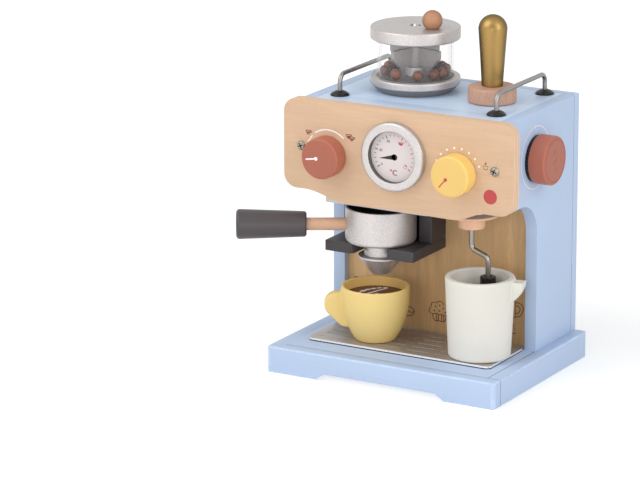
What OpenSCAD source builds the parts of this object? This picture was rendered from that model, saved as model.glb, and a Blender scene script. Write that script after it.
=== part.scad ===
// Wooden play coffee machine: painted cabinet with a plywood front, a bean hopper whose lid turns,
// turning knobs, a filter holder in a fork, a swinging frother, a tamper, a cup and a milk jug.
// X runs to the right, Y to the back and Z up. The origin lies on the table, under the middle of
// the base's back board, and places front to back are measured from there.

/* [Base] */
// Width of the base
base_w = 240; // [225:1:270]
// Depth of the base, front to back
base_d = 192; // [180:1:220]
// Height of the base
base_h = 25.5; // [20:0.5:34]
// Thickness of the boards round the base
base_board = 13; // [9:0.5:16]
// Thickness of the deck let in between the base boards
deck_t = 9; // [5:0.5:12]
// Height of the cut-out under the front board
notch_h = 6.4; // [4:0.2:10]
// Width of the cut-out at the table
notch_w = 138; // [80:1:160]
// How much narrower each end of the cut-out is at its top
notch_lean = 11; // [4:0.5:15]

/* [Cabinet] */
// Width of the cabinet over its side walls
cab_w = 217; // [205:0.2:222]
// Thickness of the painted boards
wall_t = 12; // [9:0.5:14]
// Height of the cabinet's top above the table
cab_top = 256.6; // [245:0.5:280]
// Thickness of the back board
back_t = 11; // [8:0.5:14]
// How far the back board stays in front of the base's back edge
back_inset = 1; // [0:0.5:6]
// Depth of the two legs, up to the back board
leg_d = 73; // [60:1:80]
// How far the head reaches out in front of the legs
head_reach = 62; // [58:1:70]
// Height of the head's underside
head_z = 172; // [168:0.5:173]
// Radius of the curve between leg and head
arch_r = 33; // [20:1:40]
// Thickness of the board that closes the head from below
floor_t = 8; // [6:0.5:12]
// Width of the low board behind the front panel
lip_w = 164; // [150:1:180]
// How far the low board hangs below the head
lip_h = 12.3; // [9:0.1:13]
// Thickness of the low board
lip_t = 6; // [4:0.5:7]
// Thickness of the natural wood panel behind the bay
bay_t = 6; // [4:0.5:8]
// How far that panel stands back from the legs' front edges
bay_inset = 8; // [4:0.5:12]

/* [Front panel] */
// Width of the plywood front panel
panel_w = 240; // [224:1:250]
// Thickness of the front panel
panel_t = 11.4; // [9:0.2:14]
// How far the front panel stands above the cabinet
panel_rise = 2; // [0:0.5:4]
// Radius of the front panel's corners
panel_r = 13; // [8:0.5:16]
// Height of the panel's lower edge near its two ends
panel_end_z = 173; // [172:0.5:176]
// Height of the panel's lower edge along its middle
panel_mid_z = 162.5; // [160:0.5:166]
// Half width of the low middle stretch
belly_in = 62; // [50:1:70]
// Half width at which the lower edge has risen to its ends
belly_out = 97; // [85:1:104]
// Distance of each panel screw from the middle
screw_x = 101; // [99:0.5:104]
// Height of the panel screws
screw_z = 214.3; // [205:0.5:225]
// Diameter of a panel screw's head
screw_head = 9; // [6:0.5:11]

/* [Gauge] */
// Place of the gauge across the panel
gauge_x = -2; // [-8:0.5:8]
// Height of the gauge's middle
gauge_z = 216; // [206:0.5:218]
// Outer diameter of the gauge's ring
gauge_d = 65; // [56:0.5:70]
// Diameter of the ring's opening
gauge_open = 48.5; // [40:0.5:52]
// How far the ring stands out
gauge_h = 7; // [4:0.5:10]
// Thickness of the dial plate in the ring
dial_t = 1.5; // [1:0.1:3]

/* [Knobs] */
// Diameter of the two front knobs
knob_d = 38.5; // [30:0.5:42]
// Height of a front knob
knob_h = 17; // [12:0.5:22]
// Radius of a knob's edges
knob_edge = 2.5; // [1:0.1:4]
// Place of the left knob across the panel
left_knob_x = -72.6; // [-78:0.2:-68]
// Place of the right knob across the panel
right_knob_x = 63; // [60:0.5:70]
// Height of the front knobs' axes
knob_z = 207.9; // [202:0.1:214]
// Diameter of the axles
axle_d = 6; // [4:0.2:8]
// Diameter of the retaining disc at an axle's inner end
axle_disc_d = 14; // [11:0.5:20]
// Thickness of that disc
axle_disc_t = 3; // [2:0.5:5]
// Diameter of the knob on the right wall
side_knob_d = 46; // [36:0.5:52]
// Height of that knob
side_knob_h = 17; // [12:0.5:22]
// Place of its axis, front to back
side_knob_y = -84.5; // [-95:0.5:-77]
// Height of its axis
side_knob_z = 213; // [205:0.5:216]
// Thickness of the dark washer behind it
side_washer_t = 3; // [2:0.5:5]

/* [Tray] */
// Width of the drip tray
tray_w = 193; // [160:1:200]
// Depth of the drip tray
tray_d = 70.5; // [58:0.5:72]
// Thickness of the drip tray
tray_t = 2.7; // [2.4:0.1:6]
// Corner radius of the drip tray
tray_r = 5.5; // [4:0.5:14]
// Gap between the tray and the legs
tray_gap = 1.5; // [1:0.5:6]
// Length of one drain groove
groove_l = 24; // [14:0.5:27]
// Width of one drain groove
groove_w = 1.4; // [0.8:0.1:3]
// Depth of one drain groove
groove_h = 1; // [0.5:0.1:1.8]
// Distance from groove to groove along the tray
groove_step_x = 30.6; // [28:0.2:32]
// Distance from groove to groove across the tray
groove_step_y = 12; // [6:0.5:13]

/* [Fork] */
// Width of the fork that carries the filter holder
fork_w = 94; // [84:1:104]
// How far the fork stands out in front of the bay panel
fork_d = 64.7; // [62:0.1:68]
// Thickness of the fork plate
fork_t = 10.2; // [7:0.2:12]
// Height of the fork plate's top
fork_z = 121.4; // [115:0.2:126]
// Width of the fork's slot
slot_w = 34.5; // [33.5:0.5:44]
// Depth of the upright block behind the filter holder
block_d = 28.7; // [18:0.1:30]

/* [Filter holder] */
// Place of the filter holder across the machine
filter_x = -38.5; // [-42:0.5:-34]
// Place of the filter holder, front to back
filter_y = -111.9; // [-112.5:0.1:-110.5]
// Diameter of the basket
basket_d = 67.2; // [60:0.2:70]
// Height of the basket
basket_h = 33.6; // [26:0.2:38]
// Wall of the basket
basket_wall = 2.7; // [2.2:0.1:4]
// Radius of the basket's lower edge
basket_edge = 4; // [3:0.5:8]
// Thickness of the basket's floor
basket_floor = 9; // [7:0.5:12]
// Diameter of the neck in the fork's slot
neck_d = 31; // [22:0.5:32]
// Diameter of the spout's rim
spout_d = 42.5; // [34:0.5:46]
// Diameter of the spout's lower end
spout_tip_d = 18; // [12:0.5:24]
// Height of the spout below the fork
spout_h = 18; // [12:0.5:19]
// Diameter of the handle's wooden rod
rod_d = 12; // [8:0.5:14]
// Length of rod seen between basket and grip
rod_l = 36; // [20:1:50]
// Length of the grip
grip_l = 66; // [50:1:80]
// Diameter of the grip's inner end
grip_in_d = 24; // [18:0.5:26]
// Diameter of the grip's outer end
grip_out_d = 28.5; // [22:0.5:34]
// Direction of the handle
handle_angle = 210; // [180:1:225]

/* [Frother] */
// Place of the frother's pivot across the machine
frother_x = 54; // [50:0.5:56]
// Place of the frother's pivot, front to back
frother_y = -105.5; // [-108:0.5:-102]
// Diameter of the frother's flange
flange_d = 53; // [40:0.5:54]
// Thickness of the flange
flange_t = 2.5; // [2:0.1:4]
// Height of the flange's underside
flange_z = 157.4; // [154:0.2:161]
// Diameter of the collar under the flange
collar_d = 25.3; // [18:0.1:28]
// Height of the collar
collar_h = 12.5; // [8:0.5:14]
// Diameter of the frother's steel rod
wand_d = 5; // [4:0.2:6]
// Radius of the rod's bends
wand_bend = 6; // [5:0.5:8]
// How far each bend turns
wand_turn = 69; // [50:1:80]
// How far the rod's lower end stands to the side
wand_reach = 17.4; // [14:0.2:20]
// Height of the first bend's start
wand_bend_z = 129.2; // [126:0.2:134]
// Diameter of the frother's tip
tip_d = 14.8; // [10:0.2:16]
// Height of the frother's tip
tip_h = 15; // [10:0.5:18]
// Height of the tip's upper end
tip_top_z = 100.6; // [97:0.2:104]

/* [Hopper] */
// Place of the hopper across the machine
hopper_x = -32.2; // [-36:0.2:-28]
// Place of the hopper, front to back
hopper_y = -57.4; // [-63:0.1:-51]
// Diameter of the hopper's foot and lid
hopper_d = 85; // [78:0.5:90]
// Diameter of the foot where it stands on the cabinet
foot_low_d = 70; // [60:0.5:76]
// Height of the foot's cone
foot_cone_h = 7.4; // [4:0.2:9]
// Height of the whole foot
foot_h = 14; // [12:0.2:18]
// Outer diameter of the clear jar
jar_d = 72.6; // [68:0.2:74]
// Wall of the clear jar
jar_wall = 1.8; // [1.2:0.1:2.4]
// Height of the jar above the foot
jar_h = 35.2; // [32:0.2:42]
// Depth of the groove that holds the jar
jar_groove = 3; // [2:0.5:5]
// Thickness of the lid
lid_t = 11.9; // [8:0.1:14]
// Diameter of the ball on the lid
ball_d = 19.4; // [12:0.2:22]
// Distance of the ball from the lid's middle
ball_reach = 21.5; // [18:0.5:28]
// Direction in which the ball and the first paddle point
rotor_angle = -15; // [-45:1:45]
// Diameter of the grinder's shaft
shaft_d = 9; // [7:0.2:10]
// Diameter of the bearing boss on the foot
boss_d = 19; // [15:0.5:22]
// Height of the bearing boss
boss_h = 8.5; // [5:0.5:9]
// Number of paddles
paddle_n = 4; // [3:1:6]
// Reach of the paddles
paddle_reach = 31; // [26:0.5:31.5]
// Thickness of a paddle
paddle_t = 4; // [2:0.5:5]
// Height of the paddles' lower edge above the foot
paddle_z = 10; // [9:0.5:12]
// Height of the paddles
paddle_h = 17; // [12:0.5:20]
// Cut-off corner at each paddle's foot
paddle_cut = 9; // [5:0.5:10]
// Diameter of a bean bead
bead_d = 10.2; // [8:0.2:10.4]

/* [Rails] */
// Distance of each rail from the middle
rail_x = 82; // [80:0.5:86]
// Place of a rail's front foot
rail_y = -113; // [-119:0.5:-105]
// Distance between a rail's feet
rail_l = 98.5; // [80:0.5:100]
// Height of the rail's axis above the cabinet
rail_h = 19.6; // [14:0.2:30]
// Diameter of the rail's rod
rail_d = 4.5; // [3:0.1:6]
// Bend radius of the rail
rail_bend = 8; // [5:0.5:10]
// Depth to which the rail's feet are let in
rail_deep = 8; // [4:0.5:8.5]
// Diameter of the black grommets
grommet_d = 18; // [12:0.5:20]
// Height of the black grommets
grommet_h = 4.5; // [3:0.1:6]

/* [Tamper] */
// Place of the tamper across the machine
tamper_x = 53.8; // [46:0.2:54]
// Place of the tamper, front to back
tamper_y = -66.7; // [-79:0.1:-59]
// Diameter of the tamper's foot
tamper_d = 45.2; // [36:0.2:46]
// Height of the tamper's foot
tamper_h = 15; // [10:0.5:20]
// Radius of the foot's upper edge
tamper_edge = 2.5; // [1:0.1:4]
// Diameter of the handle at the foot
grasp_low_d = 20; // [14:0.2:22]
// Largest diameter of the handle
grasp_d = 27; // [22:0.2:32]
// Height of the handle
grasp_h = 67; // [50:0.5:80]

/* [Cup] */
// Place of the cup across the machine
cup_x = -38.8; // [-42:0.1:-34]
// Place of the cup, front to back
cup_y = -121.5; // [-122.5:0.5:-113.5]
// Rim diameter of the cup
cup_d = 64.8; // [56:0.2:66]
// Diameter of the cup's foot
cup_foot_d = 38; // [28:0.5:44]
// Height of the cup
cup_h = 52; // [44:0.5:54]
// Wall of the cup
cup_wall = 3; // [2.4:0.1:4]
// Fullness of the cup's side: larger is rounder
cup_full = 2.6; // [2:0.1:3.4]
// Distance from the rim down to the coffee
coffee_low = 9; // [8:0.5:20]
// Thickness of the coffee disc
coffee_t = 4; // [2:0.5:6]
// Thickness of the cup's ear
ear_t = 11; // [7:0.5:14]
// How far the ear reaches from the cup's axis
ear_reach = 48.1; // [42:0.1:52]
// Direction of the ear
ear_angle = 210; // [190:1:230]

/* [Jug] */
// Place of the jug across the machine
jug_x = 71.2; // [68:0.2:74]
// Place of the jug, front to back
jug_y = -120.8; // [-122:0.1:-118]
// Rim diameter of the jug
jug_d = 65.4; // [62:0.2:67]
// Diameter of the jug's foot
jug_foot_d = 58.2; // [50:0.2:60]
// Height of the jug
jug_h = 76.2; // [70:0.2:78]
// Wall of the jug
jug_wall = 5.6; // [4:0.1:6.4]
// Thickness of the jug's floor
jug_floor = 6; // [4:0.5:10]
// Radius of the pouring beak
beak_r = 22; // [12:0.5:24]
// Reach of the beak from the jug's axis
beak_reach = 42.4; // [38:0.2:43]
// Thickness of the beak
beak_t = 13; // [8:0.5:16]
// Direction of the beak
beak_angle = 12; // [0:1:20]

/* [Fits] */
// Radial clearance of a turning axle in its hole
turn_gap = 0.05; // [0.02:0.01:0.1]
// Gap between faces that slide or turn past each other
face_gap = 0.3; // [0.2:0.05:0.4]

/* [Hidden] */
$fn = 64;

// Cutting tools run this far past the faces they open
past = 1;

// Planes of the base and the cabinet, front to back
base_back_y = base_board / 2;
base_front_y = base_back_y - base_d;
back_y = base_back_y - back_inset;
wall_back_y = back_y - back_t;
leg_y = wall_back_y - leg_d;
head_y = leg_y - head_reach;
bay_y = leg_y + bay_inset;
lip_r = 1.5;
face_y = head_y - panel_t;
inner_w = cab_w - 2 * wall_t;
board_z = cab_top - wall_t;
panel_top = cab_top + panel_rise;

// Fork, slot and block
fork_y = bay_y - fork_d;
block_y = bay_y - block_d;
mouth_r = 5;
basket_play = 2.4;

// Front panel, gauge, knobs and screws
screw_d = 3.5;
screw_bite = 14;
socket_deep = 10;
belly_steps = 12;

// Filter holder
basket_z = fork_z + face_gap;
spout_gap = 3;
spout_top_z = fork_z - fork_t - spout_gap;
spout_rim = 2;
spout_edge = 3;
rod_socket = 1.4;
rod_low = 0.6;
rod_z = fork_z + basket_h / 2 - rod_low;
grip_start = basket_d / 2 + rod_l;
grip_socket = 20;
grip_edge = 3;

// Hopper
foot_top = cab_top + foot_h;
foot_edge = 1;
jar_top = foot_top + jar_h;
lid_z = jar_top + face_gap;
lid_top = lid_z + lid_t;
lid_edge = 1.5;
shaft_low = cab_top + foot_cone_h;
bead_play = 0.6;
bead_r = jar_d / 2 - jar_wall - bead_d / 2 - bead_play;
bead_turns = [-143, -101, -57, -26, -5, 17, 38, 59, 80, 156, 178];
bolt_d = 10;
bolt_h = 1.6;
cap_r = 2.6;
ball_sunk = 0.1;
sleeve_wall = 2;
sleeve_rise = 0.5;
paddle_in = (shaft_d + sleeve_wall) / 2;

// Tray, cup and jug
tray_z = base_h + tray_t;
tray_y = leg_y - tray_gap - tray_d;
groove_margin = 6;
groove_cols = floor((tray_w - 2 * groove_margin - groove_l) / groove_step_x) + 1;
groove_rows = floor((tray_d - 2 * groove_margin) / groove_step_y) + 1;
stand_z = tray_z + face_gap;
cup_steps = 20;
ear_top_share = 0.65;
ear_low_share = 0.41;
ear_top_r = 12;
ear_low_r = 9;
jug_edge = 2;
beak_low = 2.5;

// Frother
wand_slant = (wand_reach - 2 * wand_bend * (1 - cos(wand_turn))) / sin(wand_turn);
wand_drop = 2 * wand_bend * sin(wand_turn) + wand_slant * cos(wand_turn);
wand_thin = 0.01;
wand_in = wand_d / 2 - wand_thin;
wand_sides = 20;
wand_arc = 6;
neck_top = head_z - face_gap;
flange_neck_d = 14;
nut_d = 12;
nut_t = 4;
flange_edge = 1;
collar_edge = 1.5;
rubber_edge = 1.2;

// Rails and tamper
grommet_edge = 2;
peg_deep = 8;
peg_d = 8;

// A flat disc with both edges rounded, standing on Z = 0
module soft_disc(d, h, edge) {
    rotate_extrude() {
        square([d / 2 - edge, h]);
        translate([0, edge]) square([d / 2, h - 2 * edge]);
        translate([d / 2 - edge, edge]) circle(edge);
        translate([d / 2 - edge, h - edge]) circle(edge);
    }
}

// A flat disc with only its upper edge rounded
module soft_top_disc(d, h, edge) {
    rotate_extrude() {
        square([d / 2 - edge, h]);
        square([d / 2, h - edge]);
        translate([d / 2 - edge, h - edge]) circle(edge);
    }
}

// A rectangle with true round corners, its lower left corner at the origin
module soft_rect(w, h, r) {
    translate([r, 0]) square([w - 2 * r, h]);
    translate([0, r]) square([w, h - 2 * r]);
    for (x = [r, w - r], y = [r, h - r]) translate([x, y]) circle(r);
}

// Turns +Z to point level in the direction of an angle
module level(angle) {
    rotate([0, 0, angle]) rotate([0, 90, 0]) children();
}

// Turns +Z to point out of the front panel
module forward() {
    rotate([90, 0, 0]) children();
}

// A quarter or less of a bent rod, its start on Z = 0 and its bend towards -X
module bend(rod, radius, turn) {
    rotate([90, 0, 0])
        translate([-radius, 0, 0])
            rotate_extrude(angle = turn, $fn = 48) translate([radius, 0]) circle(rod / 2, $fn = 32);
}

// Height of the front panel's lower edge at a distance from its middle
function belly(x) =
    let (t = max(0, min(1, (abs(x) - belly_in) / (belly_out - belly_in))))
    panel_mid_z + (panel_end_z - panel_mid_z) * (1 - cos(180 * t)) / 2;

// Outer radius of the cup at a share of its height
function cup_radius(share) =
    cup_foot_d / 2 + (cup_d - cup_foot_d) / 2 * (1 - pow(1 - share, cup_full));

// ---- Base ----

module base_board_across() {
    translate([-base_w / 2, 0, 0]) cube([base_w, base_board, base_h]);
}

module notch() {
    translate([0, base_board + past, 0])
        forward()
            linear_extrude(base_board + 2 * past)
                polygon([[-notch_w / 2, -past], [notch_w / 2, -past], [notch_w / 2, 0],
                         [notch_w / 2 - notch_lean, notch_h], [notch_lean - notch_w / 2, notch_h],
                         [-notch_w / 2, 0]]);
}

module base_front() {
    color("#bacbe4")
        translate([0, base_front_y, 0])
            difference() {
                base_board_across();
                notch();
            }
}

module base_back() {
    color("#bacbe4") translate([0, -base_back_y, 0]) base_board_across();
}

module base_side(x) {
    color("#bacbe4")
        translate([x, base_front_y + base_board, 0])
            cube([base_board, base_d - 2 * base_board, base_h]);
}

module base_left() {
    base_side(-base_w / 2);
}

module base_right() {
    base_side(base_w / 2 - base_board);
}

module base_deck() {
    color("#bacbe4")
        translate([base_board - base_w / 2, base_front_y + base_board, base_h - deck_t])
            cube([base_w - 2 * base_board, base_d - 2 * base_board, deck_t]);
}

// ---- Cabinet ----

// Outline of a side wall, X as depth and Y as height: leg, head and the curve between them
module wall_outline() {
    translate([leg_y, base_h]) square([leg_d, cab_top - base_h]);
    translate([head_y, head_z]) square([wall_back_y - head_y, cab_top - head_z]);
    difference() {
        translate([leg_y - arch_r, head_z - arch_r]) square(arch_r);
        translate([leg_y - arch_r, head_z - arch_r]) circle(arch_r);
    }
}

module wall(side) {
    color("#bacbe4")
        difference() {
            translate([side * (cab_w - wall_t) / 2 - wall_t / 2, 0, 0])
                rotate([90, 0, 90]) linear_extrude(wall_t) wall_outline();
            translate([side * screw_x, head_y + screw_bite, screw_z])
                forward() cylinder(h = screw_bite + past, d = screw_d + 2 * turn_gap);
        }
}

module left_wall() {
    wall(-1);
}

module right_wall() {
    difference() {
        wall(1);
        translate([inner_w / 2 - past, side_knob_y, side_knob_z])
            level(0) cylinder(h = wall_t + 2 * past, d = axle_d + 2 * turn_gap);
    }
}

module back_board() {
    color("#bacbe4")
        difference() {
            translate([-cab_w / 2, wall_back_y, base_h]) cube([cab_w, back_t, cab_top - base_h]);
            rail_feet(rail_d + 2 * turn_gap, rail_deep);
        }
}

module top_board() {
    color("#d3e2f2")
        difference() {
            translate([-inner_w / 2, head_y, board_z]) cube([inner_w, wall_back_y - head_y, wall_t]);
            rail_feet(rail_d + 2 * turn_gap, rail_deep);
        }
}

module head_floor() {
    color("#bacbe4")
        difference() {
            translate([-inner_w / 2, head_y, head_z])
                cube([inner_w, bay_y + bay_t - head_y, floor_t]);
            translate([frother_x, frother_y, head_z - past])
                cylinder(h = floor_t + 2 * past, d = wand_d + 2 * turn_gap);
        }
}

// Low board behind the front panel that closes the head below its floor
module head_lip() {
    color("#d4cfce")
        translate([0, head_y + lip_t, head_z - lip_h])
            forward()
                linear_extrude(lip_t) {
                    for (side = [-1, 1])
                        translate([side * (lip_w / 2 - lip_r), lip_r]) circle(lip_r);
                    translate([lip_r - lip_w / 2, 0]) square([lip_w - 2 * lip_r, lip_h]);
                    translate([-lip_w / 2, lip_r]) square([lip_w, lip_h - lip_r]);
                }
}

module bay_panel() {
    color("#a57d55")
        translate([-inner_w / 2, bay_y, base_h]) cube([inner_w, bay_t, head_z - base_h]);
}

// ---- Front panel ----

// Outline of the front panel seen from the front: round corners and a belly between two S-curves
module panel_outline() {
    translate([-panel_w / 2, panel_end_z])
        soft_rect(panel_w, panel_top - panel_end_z, panel_r);
    polygon(concat([for (x = [-belly_out : (belly_out - belly_in) / belly_steps : -belly_in]) [x, belly(x)]],
                   [for (x = [belly_in : (belly_out - belly_in) / belly_steps : belly_out]) [x, belly(x)]],
                   [[belly_out, panel_end_z + panel_r], [-belly_out, panel_end_z + panel_r]]));
}

// Places something at a point of the front panel's front face, +Z pointing out
module on_face(x, z) {
    translate([x, face_y, z]) forward() children();
}

module face_hole(x, z, d) {
    on_face(x, z) translate([0, 0, -panel_t - past]) cylinder(h = panel_t + 2 * past, d = d);
}

module front_panel() {
    color("#e0be9b")
        difference() {
            translate([0, head_y, 0]) forward() linear_extrude(panel_t) panel_outline();
            face_hole(left_knob_x, knob_z, axle_d + 2 * turn_gap);
            face_hole(right_knob_x, knob_z, axle_d + 2 * turn_gap);
            for (side = [-1, 1]) face_hole(side * screw_x, screw_z, screw_d + 2 * turn_gap);
        }
}

module panel_screws() {
    color("#c8c4c2")
        for (side = [-1, 1])
            on_face(side * screw_x, screw_z) {
                soft_top_disc(screw_head, screw_head / 4, screw_head / 8);
                translate([0, 0, past - panel_t - screw_bite])
                    cylinder(h = panel_t + screw_bite - past, d = screw_d);
            }
}

// ---- Gauge ----

module gauge_ring() {
    color("#c8c4c2")
        on_face(gauge_x, gauge_z)
            difference() {
                soft_top_disc(gauge_d, gauge_h, knob_edge);
                translate([0, 0, -past]) cylinder(h = gauge_h + 2 * past, d = gauge_open);
            }
}

module gauge_dial() {
    color("#eeeeec")
        on_face(gauge_x, gauge_z) cylinder(h = dial_t, d = gauge_open - 2 * turn_gap);
}

// ---- Knobs ----

module knob(d, h) {
    translate([0, 0, face_gap])
        difference() {
            soft_disc(d, h, knob_edge);
            translate([0, 0, -past])
                cylinder(h = socket_deep + past, d = axle_d + 2 * turn_gap);
        }
}

// An axle through a board: socketed in its knob, with a retaining disc behind the board
module axle(board) {
    translate([0, 0, -board - face_gap - axle_disc_t]) {
        cylinder(h = board + axle_disc_t + socket_deep + 2 * face_gap, d = axle_d);
        cylinder(h = axle_disc_t, d = axle_disc_d);
    }
}

module left_knob() {
    color("#be735f") on_face(left_knob_x, knob_z) knob(knob_d, knob_h);
}

module left_axle() {
    color("#d0a38c") on_face(left_knob_x, knob_z) axle(panel_t);
}

module right_knob() {
    color("#f6d37f") on_face(right_knob_x, knob_z) knob(knob_d, knob_h);
}

module right_axle() {
    color("#d0a38c") on_face(right_knob_x, knob_z) axle(panel_t);
}

// Places something on the right wall at the side knob's axis, +Z pointing out
module on_side(out) {
    translate([cab_w / 2 + out, side_knob_y, side_knob_z]) level(0) children();
}

module side_washer() {
    color("#2a2826")
        on_side(0)
            difference() {
                cylinder(h = side_washer_t, d = side_knob_d - 2);
                translate([0, 0, -past])
                    cylinder(h = side_washer_t + 2 * past, d = axle_d + 2 * turn_gap);
            }
}

module side_knob() {
    color("#be735f") on_side(side_washer_t) knob(side_knob_d, side_knob_h);
}

module side_axle() {
    color("#d0a38c") on_side(side_washer_t) axle(wall_t + side_washer_t);
}

// ---- Drip tray ----

module drip_tray() {
    color("#c8c4c2")
        difference() {
            translate([-tray_w / 2, tray_y, base_h])
                linear_extrude(tray_t) soft_rect(tray_w, tray_d, tray_r);
            for (col = [0 : groove_cols - 1], row = [0 : groove_rows - 1])
                translate([(col - (groove_cols - 1) / 2) * groove_step_x,
                           tray_y + tray_d / 2 + (row - (groove_rows - 1) / 2) * groove_step_y,
                           tray_z - groove_h])
                    translate([-groove_l / 2, -groove_w / 2, 0])
                        cube([groove_l, groove_w, groove_h + past]);
        }
}

// ---- Fork ----

// The slot with its round end at the filter holder's axis and its mouth flared by two curves
module slot_outline() {
    slot_front = fork_y - filter_y;
    circle(d = slot_w);
    translate([-slot_w / 2, slot_front - past]) square([slot_w, past - slot_front]);
    for (side = [-1, 1])
        difference() {
            translate([side * (slot_w + mouth_r) / 2 - mouth_r / 2, slot_front - past])
                square([mouth_r, mouth_r + past]);
            translate([side * (slot_w / 2 + mouth_r), slot_front + mouth_r]) circle(mouth_r);
        }
}

module fork_plate() {
    color("#3e3a3a")
        translate([0, 0, fork_z - fork_t])
            linear_extrude(fork_t)
                difference() {
                    translate([filter_x - fork_w / 2, fork_y]) square([fork_w, fork_d]);
                    translate([filter_x, filter_y]) slot_outline();
                }
}

// The upright behind the basket, hollowed so that the basket stands inside its curve
module fork_block() {
    color("#34302f")
        difference() {
            translate([filter_x - fork_w / 2, block_y, fork_z])
                cube([fork_w, block_d, head_z - fork_z]);
            translate([filter_x, filter_y, fork_z - past])
                cylinder(h = head_z - fork_z + 2 * past, r = basket_d / 2 + basket_play, $fn = 96);
        }
}

// ---- Filter holder ----

module at_filter(z) {
    translate([filter_x, filter_y, z]) children();
}

module filter_basket() {
    color("#c8c4c2")
        difference() {
            at_filter(basket_z)
                rotate_extrude($fn = 96) {
                    square([basket_d / 2 - basket_edge, basket_h]);
                    translate([0, basket_edge]) square([basket_d / 2, basket_h - basket_edge]);
                    translate([basket_d / 2 - basket_edge, basket_edge]) circle(basket_edge);
                }
            at_filter(basket_z + basket_floor)
                cylinder(h = basket_h, d = basket_d - 2 * basket_wall, $fn = 96);
            at_filter(rod_z)
                level(handle_angle)
                    translate([0, 0, basket_d / 2 - rod_socket])
                        cylinder(h = basket_d, d = rod_d + 2 * turn_gap);
        }
}

// Neck through the slot, then the flared rim and the cone down to the rounded tip
module filter_spout() {
    tip_r = spout_tip_d / 2;
    low = spout_top_z - spout_h;
    color("#c8c4c2")
        at_filter(0)
            rotate_extrude() {
                translate([0, spout_top_z]) square([neck_d / 2, basket_z - spout_top_z]);
                polygon([[0, low + spout_edge], [tip_r, low + spout_edge],
                         [spout_d / 2, spout_top_z - spout_rim], [spout_d / 2, spout_top_z],
                         [0, spout_top_z]]);
                translate([0, low]) square([tip_r - spout_edge, spout_edge + 1]);
                translate([tip_r - spout_edge, low + spout_edge])
                    circle(spout_edge);
            }
}

module filter_rod() {
    color("#d0a38c")
        at_filter(rod_z)
            level(handle_angle)
                translate([0, 0, basket_d / 2 - rod_socket + turn_gap])
                    cylinder(h = rod_socket + rod_l + grip_socket - 2 * turn_gap, d = rod_d);
}

module filter_grip() {
    color("#5a5454")
        at_filter(rod_z)
            level(handle_angle)
                translate([0, 0, grip_start])
                    difference() {
                        rotate_extrude() {
                            polygon([[0, 0], [grip_in_d / 2 - grip_edge, 0],
                                     [grip_in_d / 2, grip_edge],
                                     [grip_out_d / 2, grip_l - grip_edge],
                                     [grip_out_d / 2 - grip_edge, grip_l], [0, grip_l]]);
                            translate([grip_in_d / 2 - grip_edge, grip_edge]) circle(grip_edge);
                            translate([grip_out_d / 2 - grip_edge, grip_l - grip_edge])
                                circle(grip_edge);
                        }
                        translate([0, 0, -past])
                            cylinder(h = grip_socket + past, d = rod_d + 2 * turn_gap);
                    }
}

// ---- Frother ----

module at_frother(z) {
    translate([frother_x, frother_y, z]) children();
}

module frother_flange() {
    color("#d0a38c")
        difference() {
            union() {
                at_frother(flange_z) soft_disc(flange_d, flange_t, flange_edge);
                at_frother(flange_z) cylinder(h = neck_top - flange_z, d = flange_neck_d);
                at_frother(flange_z - collar_h) {
                    soft_disc(collar_d, collar_h, collar_edge);
                    translate([0, 0, collar_h / 2]) cylinder(h = collar_h / 2 + past, d = collar_d);
                }
            }
            at_frother(flange_z - collar_h - past)
                cylinder(h = neck_top - flange_z + collar_h + 2 * past, d = wand_d + 2 * turn_gap);
        }
}

// One ring of points round the wand's S-bend, at a place in the bend's plane and a tilt
function wand_ring(x, z, tilt) =
    [for (k = [0 : wand_sides - 1])
        let (a = 360 * k / wand_sides)
        [x + wand_in * cos(a) * cos(tilt), wand_in * sin(a), z + wand_in * cos(a) * sin(tilt)]];

// The S-bend as one sweep: an arc to the side, a slanted stretch and an arc back down into the tip
module wand_sweep(low) {
    bends = [for (i = [0 : wand_arc]) wand_turn * i / wand_arc];
    rings = concat([wand_ring(0, past, 0)],
                   [for (t = bends) wand_ring(wand_bend * (1 - cos(t)), -wand_bend * sin(t), t)],
                   [for (i = [wand_arc : -1 : 0])
                        wand_ring(wand_reach - wand_bend * (1 - cos(bends[i])),
                                  wand_bend * sin(bends[i]) - wand_drop, bends[i])],
                   [wand_ring(wand_reach, low, 0)]);
    last = len(rings) - 1;
    polyhedron(points = [for (ring = rings) each ring],
               faces = concat([[for (k = [wand_sides - 1 : -1 : 0]) k]],
                              [for (i = [0 : last - 1], k = [0 : wand_sides - 1])
                                   let (a = i * wand_sides, b = (k + 1) % wand_sides)
                                   [a + k, a + b, a + wand_sides + b, a + wand_sides + k]],
                              [[for (k = [0 : wand_sides - 1]) last * wand_sides + k]]));
}

// Steel rod: a straight pivot through the head's floor, then the S-bend down into the tip
module frother_wand() {
    wand_top = head_z + floor_t + face_gap + nut_t;
    color("#a8a2a0")
        at_frother(wand_bend_z) {
            cylinder(h = wand_top - wand_bend_z, d = wand_d, $fn = 32);
            wand_sweep(tip_top_z - tip_h / 2 - wand_bend_z);
        }
}

module frother_tip() {
    color("#2a2826")
        difference() {
            at_frother(tip_top_z - tip_h) translate([wand_reach, 0, 0]) soft_disc(tip_d, tip_h, rubber_edge);
            at_frother(tip_top_z - tip_h / 2 - turn_gap)
                translate([wand_reach, 0, 0]) cylinder(h = tip_h, d = wand_d + 2 * turn_gap);
        }
}

module frother_nut() {
    color("#2a2826")
        at_frother(head_z + floor_t + face_gap)
            difference() {
                cylinder(h = nut_t, d = nut_d, $fn = 6);
                translate([0, 0, -past]) cylinder(h = nut_t + 2 * past, d = wand_d + 2 * turn_gap);
            }
}

// ---- Hopper ----

module at_hopper(z) {
    translate([hopper_x, hopper_y, z]) children();
}

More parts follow.
